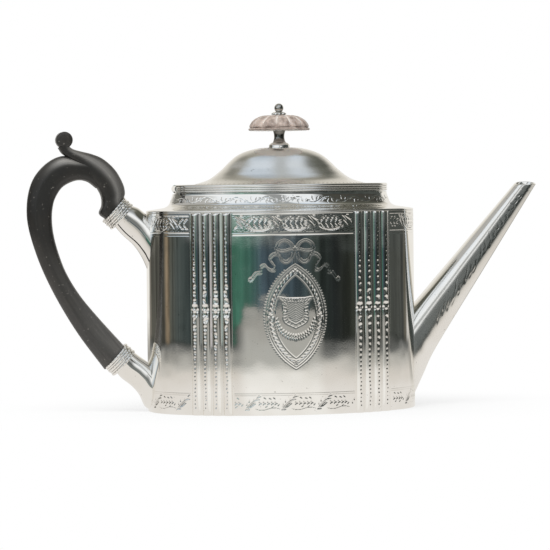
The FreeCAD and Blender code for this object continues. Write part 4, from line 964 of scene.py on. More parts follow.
def ebonised():
    """Ebonised pearwood: black-stained close grain under wax, so a satin, slightly uneven sheen, with
    brown showing through where hands have worn it and fine grain lines along the limb; pale grey
    highlights are painted on the bevels and the lower end."""
    material, tree, shader, place = start_material("pearwood_ebonised_waxed")
    # Growth lines about 1.2 mm apart, drawn out along the limb by the piece's own grain attribute
    grain_run = add_node(tree, "ShaderNodeAttribute", attribute_name="grain").outputs["Vector"]
    stretched = add_node(tree, "ShaderNodeMapping", {
        "Vector": grain_run, "Scale": (1 / (22 * MM), 1 / (1.2 * MM), 1 / (1.2 * MM))})
    grain = add_node(tree, "ShaderNodeTexNoise", {"Vector": stretched, "Scale": 1.0, "Detail": 4.0})
    wear = add_node(tree, "ShaderNodeTexNoise", {"Vector": place, "Scale": 1 / (16 * MM), "Detail": 3.0})
    wear_share = add_node(tree, "ShaderNodeMapRange", {
        "Value": wear, "From Min": 0.4, "From Max": 0.75, "To Min": 0.0, "To Max": 1.0})
    stain = add_node(tree, "ShaderNodeMix", {
        0: wear_share, 6: linear("#232220"), 7: linear("#302D29")}, data_type="RGBA")
    # Painted highlight: the bevel at the top and the lower end are painted a paler grey where light catches
    # them
    painted_highlight = add_node(tree, "ShaderNodeAttribute", attribute_name="painted_highlight")
    stain = add_node(tree, "ShaderNodeMix", {
        0: painted_highlight.outputs["Fac"], 6: stain, 7: linear("#A3A09B")}, data_type="RGBA")
    # Nicks under 1 mm show the pale wood below the stain
    stain = patches(tree, place, 1.5, 1.0, 0.7, 0.78, 0.5, stain, "#8C877F")
    lines = add_node(tree, "ShaderNodeMapRange", {
        "Value": grain, "From Min": 0.35, "From Max": 0.7, "To Min": 0.0, "To Max": 0.35})
    colour = add_node(tree, "ShaderNodeMix", {0: lines, 6: stain, 7: linear("#1A1918")}, data_type="RGBA")
    sheen = add_node(tree, "ShaderNodeMapRange", {
        "Value": wear, "From Min": 0.3, "From Max": 0.7, "To Min": 0.42, "To Max": 0.28})
    relief = add_node(tree, "ShaderNodeBump", {"Height": grain, "Strength": 0.25, "Distance": 0.12 * MM})
    fill(tree, shader, {"Base Color": colour, "IOR": 1.5, "Roughness": sheen, "Normal": relief})
    return material


black_wood = ebonised()


def close_ends(rows):
    """Rows of a tube with its two ends drawn to their middles, so the tube is closed."""
    first = np.repeat(rows[:1].mean(axis=1, keepdims=True), rows.shape[1], axis=1)
    last = np.repeat(rows[-1:].mean(axis=1, keepdims=True), rows.shape[1], axis=1)
    return np.concatenate([first, rows, last])


def grain_map(rows):
    """Own coordinates of a limb in metres: the run along it, then across it and from side to side."""
    middle = rows.mean(axis=1)
    across = np.linalg.norm((rows - middle[:, None])[..., [0, 2]], axis=-1)
    run = np.broadcast_to(run_along(middle)[:, None], across.shape)
    return np.stack([run, across, rows[..., 1]], axis=-1).reshape(-1, 3) * MM


front_limb, back_limb = (close_ends(loft(knots, LIMB_SECTION)[::5]) for knots in (FRONT_KNOTS, BACK_KNOTS))
# Radius and distance across of the rings that make the roll of the thumbpiece
half_roll = ((0.0, ROLL_HALF), (2.6, ROLL_HALF), (3.4, ROLL_HALF - 0.1), (3.95, ROLL_HALF - 0.4),
             (ROLL_RADIUS, ROLL_HALF - 1.1))
roll_outline = [(radius, -across) for radius, across in half_roll] + [(ROLL_RADIUS, 0.0), *half_roll[::-1]]
roll = np.array([cross_ring(ROLL_CENTRE, radius, across, ROLL_COLUMNS) for radius, across in roll_outline])
# Painted highlights: pale grey is painted on the bevel over the arch, the inner side of the foot and the
# bevel of the front limb, where light catches them
limb_across = LIMB_SECTION[:, 0]
back_share = np.linspace(0, 1, len(back_limb))
arch_highlight = np.exp(-((back_share - 0.2) / 0.08) ** 2)
bevel_highlight = np.exp(-((limb_across - 0.62) / 0.22) ** 2)
foot_highlight = np.interp(back_limb.mean(axis=1)[:, 2], [25, 60, 90], [0.16, 0.07, 0.0])
inner_highlight = np.interp(limb_across, [-0.9, -0.3, 0.3], [2.0, 1.6, 0.7])
back_highlight = arch_highlight[:, None] * bevel_highlight[None] + foot_highlight[:, None] * inner_highlight[None]
front_share = np.linspace(0, 1, len(front_limb))
front_highlight_run = np.interp(front_share, [0.0, 0.15, 0.5, 0.75, 0.9], [0.3, 0.5, 0.6, 0.4, 0.1])
front_highlight = front_highlight_run[:, None] * np.exp(-((limb_across - 0.45) / 0.3) ** 2)[None]
roll_highlight = np.full(roll[..., 0].size, 0.03)
handle_parts = (front_limb, back_limb, roll)
handle_marks = {"grain": np.concatenate([grain_map(rows) for rows in handle_parts]),
                "painted_highlight": np.concatenate([front_highlight.ravel(), back_highlight.ravel(), roll_highlight])}
add_piece("carved_handle", [skin(rows, wrap=True) for rows in handle_parts], black_wood, "pot",
          ["handle"], handle_marks, crease=50, closed=True)

# Hinge: three knuckles on one pin at the handle end of the neck; the middle one turns with the lid.
# The filed knuckles are small plain tubes, so the solids stay and only get the silver.
refinish(("hinge_body_knuckles", "hinge_pin", "hinge_lid_knuckle"), bright_silver)

# Lid: a dome raised from sheet, with a flat brim, a drawn reeded wire round the edge and a locating
# strip below. Domes are burnished by hand, which leaves a softer shine than the flat sheet.
satin_silver = sterling("sterling_silver_burnished", 0.2, 0.1)
DOME_FLATTEN = 0.58
DOME_GAUGE = 0.8
DOME_CUT_SHARE = 0.8
DOME_TARNISH = 0.5
BRIM_INSET = 15.0
BRIM_ROWS = 5
TOP_RING_RADIUS = 12.0
TOP_RING_LEAVES = 32
DASH_PITCH = 2.6
DOME_COLUMNS = 640
# Radius along the pot and height, from the foot of the rise to the bolt's hole
DOME_OUTLINE = smooth_line(((46.8, 116.6), (43.7, 117.3), (38.2, 119.0), (34.6, 121.1), (32.0, 123.2),
                            (29.7, 125.2), (27.6, 127.3), (25.4, 129.4), (22.7, 131.5), (19.0, 133.4),
                            (14.5, 134.8), (9.5, 135.6), (1.4, 136.0)), 6)
brim_place = on_oval(np.linspace(0, GIRTH, DOME_COLUMNS, endpoint=False), BRIM_INSET)[0]
dome_turn = np.arctan2(brim_place[:, 1] / DOME_FLATTEN, brim_place[:, 0])


def dome_rows(lift=0.0):
    """Rows of the dome, from the brim's edge to the top."""
    flat = np.stack([np.cos(dome_turn), DOME_FLATTEN * np.sin(dome_turn)], axis=-1)
    foot_radius, foot_level = DOME_OUTLINE[0]
    rings = [(brim_place * share + flat * foot_radius * (1 - share), foot_level)
             for share in np.linspace(1, 0, BRIM_ROWS + 1)[:-1]]
    rings += [(flat * radius, level) for radius, level in DOME_OUTLINE]
    return np.array([np.column_stack([place, np.full(len(flat), level + lift)]) for place, level in rings])


dome_top = dome_rows()
dome_up = run_along(dome_top[:, 0])
foot_run = run_along(dome_top[BRIM_ROWS])
foot_up = dome_up[BRIM_ROWS + 2]
# Two rows of dashes round the foot of the dome and a ring of paired leaves near its top
dome_cuts = []
for dash in np.arange(0, foot_run[-1], DASH_PITCH):
    dome_cuts.append(leaf(dash, foot_up - 0.5, 0.45, 1.7, 0.34))
    dome_cuts.append(leaf(dash + DASH_PITCH / 2, foot_up + 0.7, 0.45, 1.3, 0.28))
top_up = np.interp(TOP_RING_RADIUS, DOME_OUTLINE[::-1, 0], dome_up[BRIM_ROWS:][::-1])
for dash in np.linspace(0, foot_run[-1], TOP_RING_LEAVES, endpoint=False):
    dome_cuts.append(leaf(dash, top_up, 0.9, 5.0, 1.1, 0.1))
    dome_cuts.append(leaf(dash + 2.2, top_up + 0.3, 2.2, 4.0, 0.9, -0.1))
dome_depth = engrave(foot_run, dome_up, dome_cuts)
dome_top[..., 2] -= dome_depth * DOME_CUT_SHARE
dome_under = dome_rows(-DOME_GAUGE)[::-1]
dome_marks = np.concatenate([tarnish(dome_depth, DOME_TARNISH).ravel(), np.zeros(dome_under[..., 0].size)])
add_piece("lid_dome_sheet", [skin(dome_top, wrap=True), skin(dome_under, wrap=True)], satin_silver, "lid",
          ["lid_dome"], {"tarnish_and_painted_dark": dome_marks}, crease=50)
HANDLE_END = 0.75 * GIRTH
NOTCH_HALF = 7.3
FLANGE_GAP = 10.6
RIM_FACE = 13.85
RIM_BEAD_RISE = 0.45
RIM_COLUMNS, FLANGE_COLUMNS = 620, 400
RIM_MIDDLE, FLANGE_MIDDLE = 14.2, 15.8
RIM_TARNISH = 0.25


def cap(row):
    """A fan that closes the open end of a swept outline."""
    middle = np.repeat(row.mean(axis=0, keepdims=True), len(row), axis=0)
    return np.stack([row, middle])


def open_strip(outline, inset, half_gap, columns):
    """An outline swept round the oval with a gap for the hinge, and the two fans that close its ends."""
    half = END_RADIUS * math.asin(half_gap / (END_RADIUS - inset))
    points = oval_sweep(outline, np.linspace(HANDLE_END + half, HANDLE_END + GIRTH - half, columns))
    return [points, cap(points[:, 0]), cap(points[:, -1])[::-1]]


rim_outline = [(16.4, 115.8), (15.0, 115.8), (15.0, 113.0), (14.1, 113.0)]
for bead_low, bead_high in ((113.0, 114.0), (114.2, 115.1), (115.3, 116.75)):
    for turn in np.linspace(0.0, math.pi, 9):
        level = (bead_low + bead_high) / 2 - (bead_high - bead_low) / 2 * math.cos(turn)
        rim_outline.append((RIM_FACE - RIM_BEAD_RISE * math.sin(turn), level))
rim_outline += [(14.1, 116.9), (14.6, 116.9), (15.0, 116.6)]
rim_strip = open_strip(rim_outline, RIM_MIDDLE, NOTCH_HALF, RIM_COLUMNS)
rim_groove = np.array([abs(inset - RIM_FACE) < 0.1 for inset, level in rim_outline]) * RIM_TARNISH
rim_marks = [np.repeat(rim_groove, RIM_COLUMNS)] + [np.zeros(end[..., 0].size) for end in rim_strip[1:]]
add_piece("lid_rim_wire", [skin(part) for part in rim_strip], bright_silver, "lid", ["lid_rim"],
          {"tarnish_and_painted_dark": np.concatenate(rim_marks)}, crease=35)
flange_outline = [(16.2, 115.8), (16.2, 107.7), (16.0, 107.5), (15.6, 107.5), (15.4, 107.7), (15.4, 115.8)]
flange_strip = open_strip(flange_outline, FLANGE_MIDDLE, FLANGE_GAP, FLANGE_COLUMNS)
add_piece("lid_flange_strip", [skin(part) for part in flange_strip], dull_silver, "lid",
          ["lid_flange"], crease=35)

# Finial: a turned silver stem carries a lobed knob of pale horn under a small leafy rosette. One long
# bolt with a ball head goes down through all three to a washer and a square nut inside the lid.
refinish(("finial_washer", "finial_nut"), dull_silver)
STEM_COLUMNS, KNOB_COLUMNS, BOLT_COLUMNS = 64, 192, 40


def turned(outline, columns):
    """Rows of a turned shape from an outline of radius and height, listed upwards."""
    turn = np.linspace(0, 2 * math.pi, columns, endpoint=False)
    circle = np.stack([np.cos(turn), np.sin(turn)], axis=-1)
    rings = [np.column_stack([radius * circle, np.full(columns, level)]) for radius, level in outline]
    return np.array(rings)


stem = smooth_line(((5.5, 136.4), (5.35, 137.2), (4.5, 138.0), (3.5, 138.5), (2.95, 139.6), (2.68, 141.0),
                    (2.75, 142.6), (3.05, 143.9), (3.3, 144.6)), 5)
stem = np.concatenate([[(1.4, 135.4), (5.6, 135.4), (5.6, 136.1)], stem])
# The stem is painted darker up towards the knob: painted shade under the knob and a painted dark reflection
stem_painted_dark = np.repeat(np.interp(stem[:, 1], [138.0, 139.0, 144.6], [0.0, 0.75, 0.85]), STEM_COLUMNS)
add_piece("finial_stem", [skin(turned(stem, STEM_COLUMNS), wrap=True)], bright_silver, "lid",
          ["finial_pedestal"], {"tarnish_and_painted_dark": stem_painted_dark}, crease=35)
LOBES = 12
KNOB_GROOVE = 146.1
GROOVE_IN, GROOVE_DOWN = 0.06, 0.5
knob_outline = smooth_line(((1.4, 144.6), (8.0, 144.6), (14.6, 144.62), (15.6, 144.8), (16.0, 145.2),
                            (15.85, 145.65), (15.4, 145.95), (15.1, KNOB_GROOVE), (15.35, 146.3),
                            (15.6, 146.7), (15.45, 147.4), (15.0, 148.3), (14.1, 149.5), (12.5, 150.8),
                            (10.5, 151.8), (8.2, 152.4), (4.6, 152.6), (1.4, 152.6)), 4)
knob_radius, knob_level = knob_outline.T
knob_rows = turned(knob_outline, KNOB_COLUMNS)
knob_turn = np.arctan2(knob_rows[..., 1], knob_rows[..., 0])
groove = 1 - np.abs(np.cos(LOBES / 2 * knob_turn)) ** 0.7
# The grooves fade out at the turned line round the edge and under the rosette
groove_share = np.clip((knob_level - KNOB_GROOVE) / 0.5, 0, 1) * np.clip((knob_radius - 3.2) / 5, 0, 1)
knob_rows[..., :2] *= 1 - (GROOVE_IN * groove * groove_share[:, None])[..., None]
knob_rows[..., 2] -= GROOVE_DOWN * groove * (groove_share * np.clip(knob_level - 147, 0, 1))[:, None]


def horn():
    """Pale horn: a warm, slightly see-through material with drawn-out streaks, polished to a low shine;
    dust and old polish lighten the grooves; the underside is painted pale where it lies in shade,
    and painted shade darkens the turned line round the edge."""
    material, tree, shader, place = start_material("horn_carved_polished")
    # Streaks about 2 mm wide and four times as long, up and down the knob
    drawn = add_node(tree, "ShaderNodeMapping", {
        "Vector": place, "Scale": (1 / (2 * MM), 1 / (2 * MM), 1 / (8 * MM))})
    streak = add_node(tree, "ShaderNodeTexNoise", {"Vector": drawn, "Scale": 1.0, "Detail": 4.0})
    streak_share = add_node(tree, "ShaderNodeMapRange", {
        "Value": streak, "From Min": 0.3, "From Max": 0.7})
    body = add_node(tree, "ShaderNodeMix", {
        0: streak_share, 6: linear("#83736A"), 7: linear("#C6B6AB")}, data_type="RGBA")
    pale = add_node(tree, "ShaderNodeAttribute", attribute_name="groove")
    dusted_and_painted_pale = add_node(tree, "ShaderNodeMix", {
        0: pale.outputs["Fac"], 6: body, 7: linear("#EFE6DE")}, data_type="RGBA")
    # Painted shade: the turned line round the edge is darkened
    dark = add_node(tree, "ShaderNodeAttribute", attribute_name="edge")
    colour = add_node(tree, "ShaderNodeMix", {
        0: dark.outputs["Fac"], 6: dusted_and_painted_pale, 7: linear("#5F504A")}, data_type="RGBA")
    relief = add_node(tree, "ShaderNodeBump", {"Height": streak, "Strength": 0.15, "Distance": 0.1 * MM})
    fill(tree, shader, {
        "Base Color": colour, "IOR": 1.54, "Roughness": 0.36, "Normal": relief, "Subsurface Weight": 0.12,
        "Subsurface Radius": (1.2 * MM, 0.8 * MM, 0.6 * MM), "Subsurface Scale": 1.0})
    return material


pale_horn = horn()
# The grooves near the top are paled as dust; the underside is painted pale where it lies in shade
pale_dust_and_painted_light = np.clip(groove - 0.4, 0, 1) * 1.5 * np.clip((knob_level - 147.5) / 2.5, 0, 1)[:, None]
pale_dust_and_painted_light += (knob_level < 144.7)[:, None]
# Painted shade in the turned line round the edge
painted_edge_shade = np.clip(1 - np.abs(knob_level - KNOB_GROOVE) / 0.3, 0, 1) * 0.9
knob_marks = {"groove": np.clip(pale_dust_and_painted_light, 0, 1), "edge": np.broadcast_to(painted_edge_shade[:, None], groove.shape)}
add_piece("finial_lobed_knob", [skin(knob_rows, wrap=True)], pale_horn, "lid", ["finial_knob"],
          knob_marks, crease=50)
PETALS = 8
PETAL_COLUMNS = 7
ROSETTE_RADIUS, ROSETTE_SEAT = 2.2, 153.2


def rosette_tree(finish):
    """Node tree: petals are instanced on a circle and turned to stand out from it."""
    tree = bpy.data.node_groups.new("rosette_petals", "GeometryNodeTree")
    for label, kind in (("Petal", "Geometry"), ("Count", "Int"), ("Radius", "Float"), ("Level", "Float")):
        tree.interface.new_socket(label, in_out="INPUT", socket_type="NodeSocket" + kind)
    tree.interface.new_socket("Rosette", in_out="OUTPUT", socket_type="NodeSocketGeometry")
    given = add_node(tree, "NodeGroupInput").outputs
    ring = add_node(tree, "GeometryNodeMeshCircle", {"Vertices": given["Count"], "Radius": given["Radius"]})
    spot = add_node(tree, "ShaderNodeCombineXYZ", {"Z": given["Level"]})
    lifted = add_node(tree, "GeometryNodeTransform", {"Geometry": ring, "Translation": spot})
    where = add_node(tree, "GeometryNodeInputPosition")
    flat = add_node(tree, "ShaderNodeVectorMath", {0: where, 1: (1.0, 1.0, 0.0)}, operation="MULTIPLY")
    turned_out = add_node(tree, "FunctionNodeAlignRotationToVector", {
        "Vector": flat}, axis="X", pivot_axis="Z")
    placed = add_node(tree, "GeometryNodeInstanceOnPoints", {
        "Points": lifted, "Instance": given["Petal"], "Rotation": turned_out})
    joined = add_node(tree, "GeometryNodeRealizeInstances", {"Geometry": placed})
    dressed = add_node(tree, "GeometryNodeSetMaterial", {"Geometry": joined, "Material": finish})
    add_node(tree, "NodeGroupOutput", {0: dressed})
    return tree


# Cross sections of a petal from its root to its tip: place along it, half width and lift
petal_rows = []
across = np.linspace(-1, 1, PETAL_COLUMNS)
for run, half_wide, lift in ((-1.6, 0.7, 0.65), (-0.6, 1.05, 0.8), (0.5, 1.2, 0.6), (1.2, 0.9, 0.2),
                             (1.7, 0.12, -0.1)):
    along = np.full(PETAL_COLUMNS, run)
    top = np.stack([along, half_wide * across, lift + 0.45 - 0.3 * across ** 2], axis=-1)
    base = np.stack([along, half_wide * across[::-1], np.full(PETAL_COLUMNS, lift * 0.6 - 0.35)], axis=-1)
    petal_rows.append(np.concatenate([top, base]))
petal = join_skins("petal", [skin(close_ends(np.array(petal_rows)), wrap=True)], closed=True)
rosette_sizes = {"Count": PETALS, "Radius": ROSETTE_RADIUS * MM, "Level": ROSETTE_SEAT * MM}
rosette = grow("finial_leaf_rosette", rosette_tree(bright_silver), rosette_sizes, petal)
dress(rosette, bright_silver, "lid", ["finial_rosette"], crease=35)
BALL_RADIUS, BALL_LEVEL = 2.4, 156.3
# The ball is painted darker all over, a painted dark reflection
BALL_PAINTED_DARK = 0.45
bolt = [(1.3, 130.6), (1.3, 152.7), (3.3, 152.7), (3.4, 153.0), (2.6, 153.6), (1.5, 154.0), (1.25, 154.3)]
for turn in np.linspace(0.55, math.pi, 18):
    bolt.append((BALL_RADIUS * math.sin(turn), BALL_LEVEL - BALL_RADIUS * math.cos(turn)))
bolt_rows = turned(bolt, BOLT_COLUMNS)
add_piece("finial_ball_bolt", [skin(bolt_rows, wrap=True)], bright_silver, "lid", ["finial_bolt"],
          {"tarnish_and_painted_dark": np.full(bolt_rows[..., 0].size, BALL_PAINTED_DARK)})

# Studio: a white table top that runs on to a white backdrop, soft light from the upper left, and a dark
# room in front of the table that the polished silver mirrors.
scene = bpy.context.scene
scene.view_settings.view_transform = "Standard"
TABLE_HALF = 4.0
BACKDROP_WAY = (0.3, 0.954, 0.0)
table_corners = [(x * TABLE_HALF, y * TABLE_HALF, 0) for x, y in ((-1, -1), (1, -1), (1, 1), (-1, 1))]
table_mesh = bpy.data.meshes.new("table_top")
table_mesh.from_pydata(table_corners, [], [(0, 1, 2, 3)])
table = bpy.data.objects.new("table_top", table_mesh)
scene.collection.objects.link(table)


def white_table():
    """White cotton on a table: matt, nearly white; to the camera it fades into the white backdrop.
    The silver mirrors it as warm white that greys and ends where the dim room in front begins."""
    material, tree, unused_shader, place = start_material("cotton_white_backdrop")
    tree.nodes.remove(unused_shader)
    surface = tree.nodes["Material Output"]
    path = add_node(tree, "ShaderNodeLightPath").outputs
    parts = add_node(tree, "ShaderNodeSeparateXYZ", {0: place}).outputs
    away = add_node(tree, "ShaderNodeVectorMath", {0: place, 1: (0.8, 1.15, 1.0)}, operation="MULTIPLY")
    distance = add_node(tree, "ShaderNodeVectorMath", {0: away}, operation="LENGTH")
    far_share = add_node(tree, "ShaderNodeMapRange", {
        "Value": distance, "From Min": 0.05, "From Max": 0.15, "To Min": 0.72},
        interpolation_type="SMOOTHSTEP")
    cloth = add_node(tree, "ShaderNodeBsdfDiffuse", {"Color": linear("#F4F4F3")})
    white = add_node(tree, "ShaderNodeEmission", {"Color": linear("#FFFFFF"), "Strength": 1.0})
    seen = add_node(tree, "ShaderNodeMixShader", {0: far_share, 1: cloth, 2: white})
    front = add_node(tree, "ShaderNodeMath", {0: parts["Y"], 1: -1.0}, operation="MULTIPLY")
    heading = add_node(tree, "ShaderNodeMath", {0: parts["X"], 1: front}, operation="ARCTAN2")
    # Folds of the cloth, about 0.2 m across, make its mirrored edge uneven
    folds = add_node(tree, "ShaderNodeTexNoise", {"Vector": place, "Scale": 5.0, "Detail": 2.0})
    spread = add_node(tree, "ShaderNodeMapRange", {"Value": folds, "To Min": 0.8, "To Max": 1.2})
    reach = add_node(tree, "ShaderNodeVectorMath", {0: place, "Scale": spread}, operation="SCALE")
    reach = add_node(tree, "ShaderNodeVectorMath", {0: reach}, operation="LENGTH")
    # A grey runner lies on the cloth towards the camera
    offset = add_node(tree, "ShaderNodeMath", {0: heading, 1: math.radians(-1)}, operation="SUBTRACT")
    offset = add_node(tree, "ShaderNodeMath", {0: offset}, operation="ABSOLUTE")
    runner = add_node(tree, "ShaderNodeMapRange", {
        "Value": offset, "From Min": math.radians(21), "From Max": math.radians(30),
        "To Min": 1.0, "To Max": 0.0}, interpolation_type="SMOOTHSTEP")
    fade = add_node(tree, "ShaderNodeMapRange", {"Value": reach, "From Max": 1.5})
    plain = add_node(tree, "ShaderNodeValToRGB", {"Fac": fade}, stops=(
        (0.0, "#EAE7E3"), (0.14, "#E6E2DD"), (0.22, "#D9D4CD"), (0.3, "#BAB8B2"), (0.4, "#6E6F6D"),
        (0.5, "#303331")))
    grey = add_node(tree, "ShaderNodeValToRGB", {"Fac": fade}, stops=(
        (0.0, "#EFEDE9"), (0.13, "#F4F2EE"), (0.22, "#E8E6E1"), (0.29, "#B4B4AF"), (0.62, "#A6A5A0"),
        (0.85, "#8E8D88")))
    tone = add_node(tree, "ShaderNodeMix", {0: runner, 6: plain, 7: grey}, data_type="RGBA")
    ends = add_node(tree, "ShaderNodeMapRange", {"Value": runner, "To Min": 0.72, "To Max": 1.22})
    past = add_node(tree, "ShaderNodeMath", {0: reach, 1: ends}, operation="SUBTRACT")
    beyond = add_node(tree, "ShaderNodeMapRange", {"Value": past, "From Min": -0.1, "From Max": 0.1})
    # The cloth rises to the backdrop behind the pot, most of it on the spout side
    toward = add_node(tree, "ShaderNodeVectorMath", {0: place, 1: BACKDROP_WAY}, operation="DOT_PRODUCT")
    length = add_node(tree, "ShaderNodeVectorMath", {0: place}, operation="LENGTH")
    facing = add_node(tree, "ShaderNodeMath", {0: toward, 1: length}, operation="DIVIDE")
    forward = add_node(tree, "ShaderNodeMapRange", {
        "Value": facing, "From Min": 0.62, "From Max": 0.72, "To Min": 1.0, "To Max": 0.0})
    gone = add_node(tree, "ShaderNodeMath", {0: beyond, 1: forward}, operation="MULTIPLY")
    rear = add_node(tree, "ShaderNodeValToRGB", {"Fac": fade}, stops=(
        (0.0, "#E6E2DA"), (0.13, "#E2DED6"), (0.22, "#B5B2AB"), (0.34, "#9D9A94"), (0.5, "#C9C6BF"),
        (0.7, "#F0EDE7")))
    backed = add_node(tree, "ShaderNodeMix", {0: forward, 6: rear, 7: tone}, data_type="RGBA")
    glow = add_node(tree, "ShaderNodeEmission", {"Color": backed, "Strength": 1.0})
    clear = add_node(tree, "ShaderNodeBsdfTransparent")
    mirrored = add_node(tree, "ShaderNodeMixShader", {0: gone, 1: glow, 2: clear})
    shown = add_node(tree, "ShaderNodeMixShader", {0: path["Is Camera Ray"], 1: cloth, 2: seen})
    final = add_node(tree, "ShaderNodeMixShader", {0: path["Is Glossy Ray"], 1: shown, 2: mirrored})
    fill(tree, surface, {"Surface": final})
    return material


table_mesh.materials.append(white_table())


def studio_world():
    """White to the camera, pale to matt surfaces; mirrored in metal as a dim room in front of the table
    with dark furniture, a tall window high up, a grey ceiling and a white backdrop behind."""
    world = bpy.data.worlds.new("white_studio")
    world.use_nodes = True
    tree = world.node_tree
    tree.nodes.clear()
    heading = add_node(tree, "ShaderNodeTexCoord").outputs["Generated"]
    path = add_node(tree, "ShaderNodeLightPath").outputs
    parts = add_node(tree, "ShaderNodeSeparateXYZ", {0: heading}).outputs
    front = add_node(tree, "ShaderNodeMath", {0: parts["Y"], 1: -1.0}, operation="MULTIPLY")
    around = add_node(tree, "ShaderNodeMath", {0: parts["X"], 1: front}, operation="ARCTAN2")
    degrees = add_node(tree, "ShaderNodeMath", {0: around}, operation="DEGREES")
    share = add_node(tree, "ShaderNodeMapRange", {
        "Value": degrees, "From Min": -180.0, "From Max": 180.0})
    # Round the room by degrees from the front: the backdrop's edge, a shaded wall with a lit post, a pale
    # curtain, a green screen, grey chairs, a dark cupboard, a dim wall and the backdrop again
    room_things = ((-170, "#EFECE6"), (-158, "#8F877C"), (-142, "#5F5E57"), (-120, "#4C4C47"),
                   (-101, "#3F3E39"), (-94, "#9A8972"), (-87, "#55564F"), (-74, "#474D4B"), (-58, "#2E3636"),
                   (-51, "#8E9594"), (-44, "#DAD5D7"), (-37, "#94A5A0"), (-31, "#43715F"), (-20, "#395C52"),
                   (-12, "#43525B"), (9, "#37434A"), (22, "#333B38"), (36, "#1E2121"), (52, "#33362F"),
                   (72, "#484B47"), (100, "#474946"), (108, "#5A564B"), (117, "#EFECE6"))
    # Above eye level the far wall shows, pale on the left and dim on the right
    wall_tones = ((-165, "#EFECE6"), (-140, "#74736C"), (-100, "#57564E"), (-64, "#4A504E"), (-46, "#C4C4C4"),
                  (-28, "#93ACA3"), (-4, "#7C7F7E"), (24, "#5C605F"), (50, "#3C4240"), (104, "#4F524F"),
                  (117, "#EFECE6"))
    furniture, far_wall = (
        add_node(tree, "ShaderNodeValToRGB", {"Fac": share},
                 stops=[((angle + 180) / 360, colour) for angle, colour in tones])
        for tones in (room_things, wall_tones))
    raised = add_node(tree, "ShaderNodeMapRange", {
        "Value": parts["Z"], "From Min": -0.024, "From Max": -0.008})
    distant = add_node(tree, "ShaderNodeMix", {0: raised, 6: furniture, 7: far_wall}, data_type="RGBA")
    # Upright streaks in the room, a few degrees wide; none on the backdrop behind the pot
    streak_place = add_node(tree, "ShaderNodeCombineXYZ", {"X": around, "Y": parts["Z"]})
    stretched = add_node(tree, "ShaderNodeMapping", {"Vector": streak_place, "Scale": (10.0, 16.0, 1.0)})
    streaks = add_node(tree, "ShaderNodeTexNoise", {"Vector": stretched, "Scale": 1.0, "Detail": 4.0})
    lights = add_node(tree, "ShaderNodeMapRange", {
        "Value": streaks, "From Min": 0.3, "From Max": 0.75, "To Min": 0.55, "To Max": 1.7})
    toward = add_node(tree, "ShaderNodeVectorMath", {0: heading, 1: BACKDROP_WAY}, operation="DOT_PRODUCT")
    behind = add_node(tree, "ShaderNodeMapRange", {"Value": toward, "From Min": 0.55, "From Max": 0.75})
    even = add_node(tree, "ShaderNodeMix", {0: behind, 2: lights, 3: 1.0}, data_type="FLOAT")
    room = add_node(tree, "ShaderNodeVectorMath", {0: distant, "Scale": even}, operation="SCALE")
    # The ceiling: dim in front, pale behind and on the far left
    high = add_node(tree, "ShaderNodeMapRange", {"Value": parts["Z"], "From Min": 0.36, "From Max": 0.46})
    upper = add_node(tree, "ShaderNodeValToRGB", {"Fac": parts["Z"]}, stops=(
        (0.4, "#3E3C38"), (0.65, "#4E4F48"), (0.8, "#5E5F56"), (1.0, "#B0ACA0")))
    rear_fade = add_node(tree, "ShaderNodeMapRange", {"Value": parts["Z"], "From Min": 0.4, "From Max": 0.8})
    rear = add_node(tree, "ShaderNodeMix", {
        0: rear_fade, 6: linear("#E2DED5"), 7: linear("#C2BEB4")}, data_type="RGBA")
    rear_share = add_node(tree, "ShaderNodeMapRange", {
        "Value": parts["Y"], "From Min": 0.3, "From Max": 0.65})
    roof = add_node(tree, "ShaderNodeMix", {0: rear_share, 6: upper, 7: rear}, data_type="RGBA")
    left_share = add_node(tree, "ShaderNodeMapRange", {
        "Value": parts["X"], "From Min": -0.46, "From Max": -0.56})
    roof = add_node(tree, "ShaderNodeMix", {
        0: left_share, 6: roof, 7: linear("#B4B3B0")}, data_type="RGBA")
    shell = add_node(tree, "ShaderNodeMix", {0: high, 6: room, 7: roof}, data_type="RGBA")
    # The window: soft-edged, with a sill that rises to the right, one slanting bar and a skylight overhead
    lean = add_node(tree, "ShaderNodeMath", {0: parts["Z"], 1: 0.8}, operation="MINIMUM")
    lean = add_node(tree, "ShaderNodeMath", {0: parts["X"], 1: lean}, operation="SUBTRACT")
    left_edge = add_node(tree, "ShaderNodeMapRange", {"Value": lean, "From Min": -1.3, "From Max": -1.2})
    right_edge = add_node(tree, "ShaderNodeMapRange", {
        "Value": parts["X"], "From Min": 0.54, "From Max": 0.42})
    to_right = add_node(tree, "ShaderNodeMath", {0: parts["X"], 1: -0.1}, operation="MAXIMUM")
    sill = add_node(tree, "ShaderNodeMath", {
        0: to_right, 1: -0.5, 2: parts["Z"]}, operation="MULTIPLY_ADD")
    drop = add_node(tree, "ShaderNodeMapRange", {
        "Value": parts["X"], "From Min": -0.25, "From Max": -0.4, "To Max": 0.08})
    sill = add_node(tree, "ShaderNodeMath", {0: sill, 1: drop}, operation="ADD")
    low = add_node(tree, "ShaderNodeMapRange", {"Value": sill, "From Min": 0.14, "From Max": 0.26})
    near = add_node(tree, "ShaderNodeMapRange", {"Value": front, "From Min": -0.1, "From Max": 0.04})
    bar = add_node(tree, "ShaderNodeMath", {
        0: parts["Z"], 1: -0.38, 2: parts["X"]}, operation="MULTIPLY_ADD")
    bar = add_node(tree, "ShaderNodeMath", {0: bar, 1: 0.228}, operation="ADD")
    bar = add_node(tree, "ShaderNodeMath", {0: bar}, operation="ABSOLUTE")
    bar = add_node(tree, "ShaderNodeMapRange", {
        "Value": bar, "From Min": 0.07, "From Max": 0.13, "To Min": 0.3, "To Max": 1.0})
    pane = left_edge
    for limit in (right_edge, low, near, bar):
        pane = add_node(tree, "ShaderNodeMath", {0: pane, 1: limit}, operation="MULTIPLY")
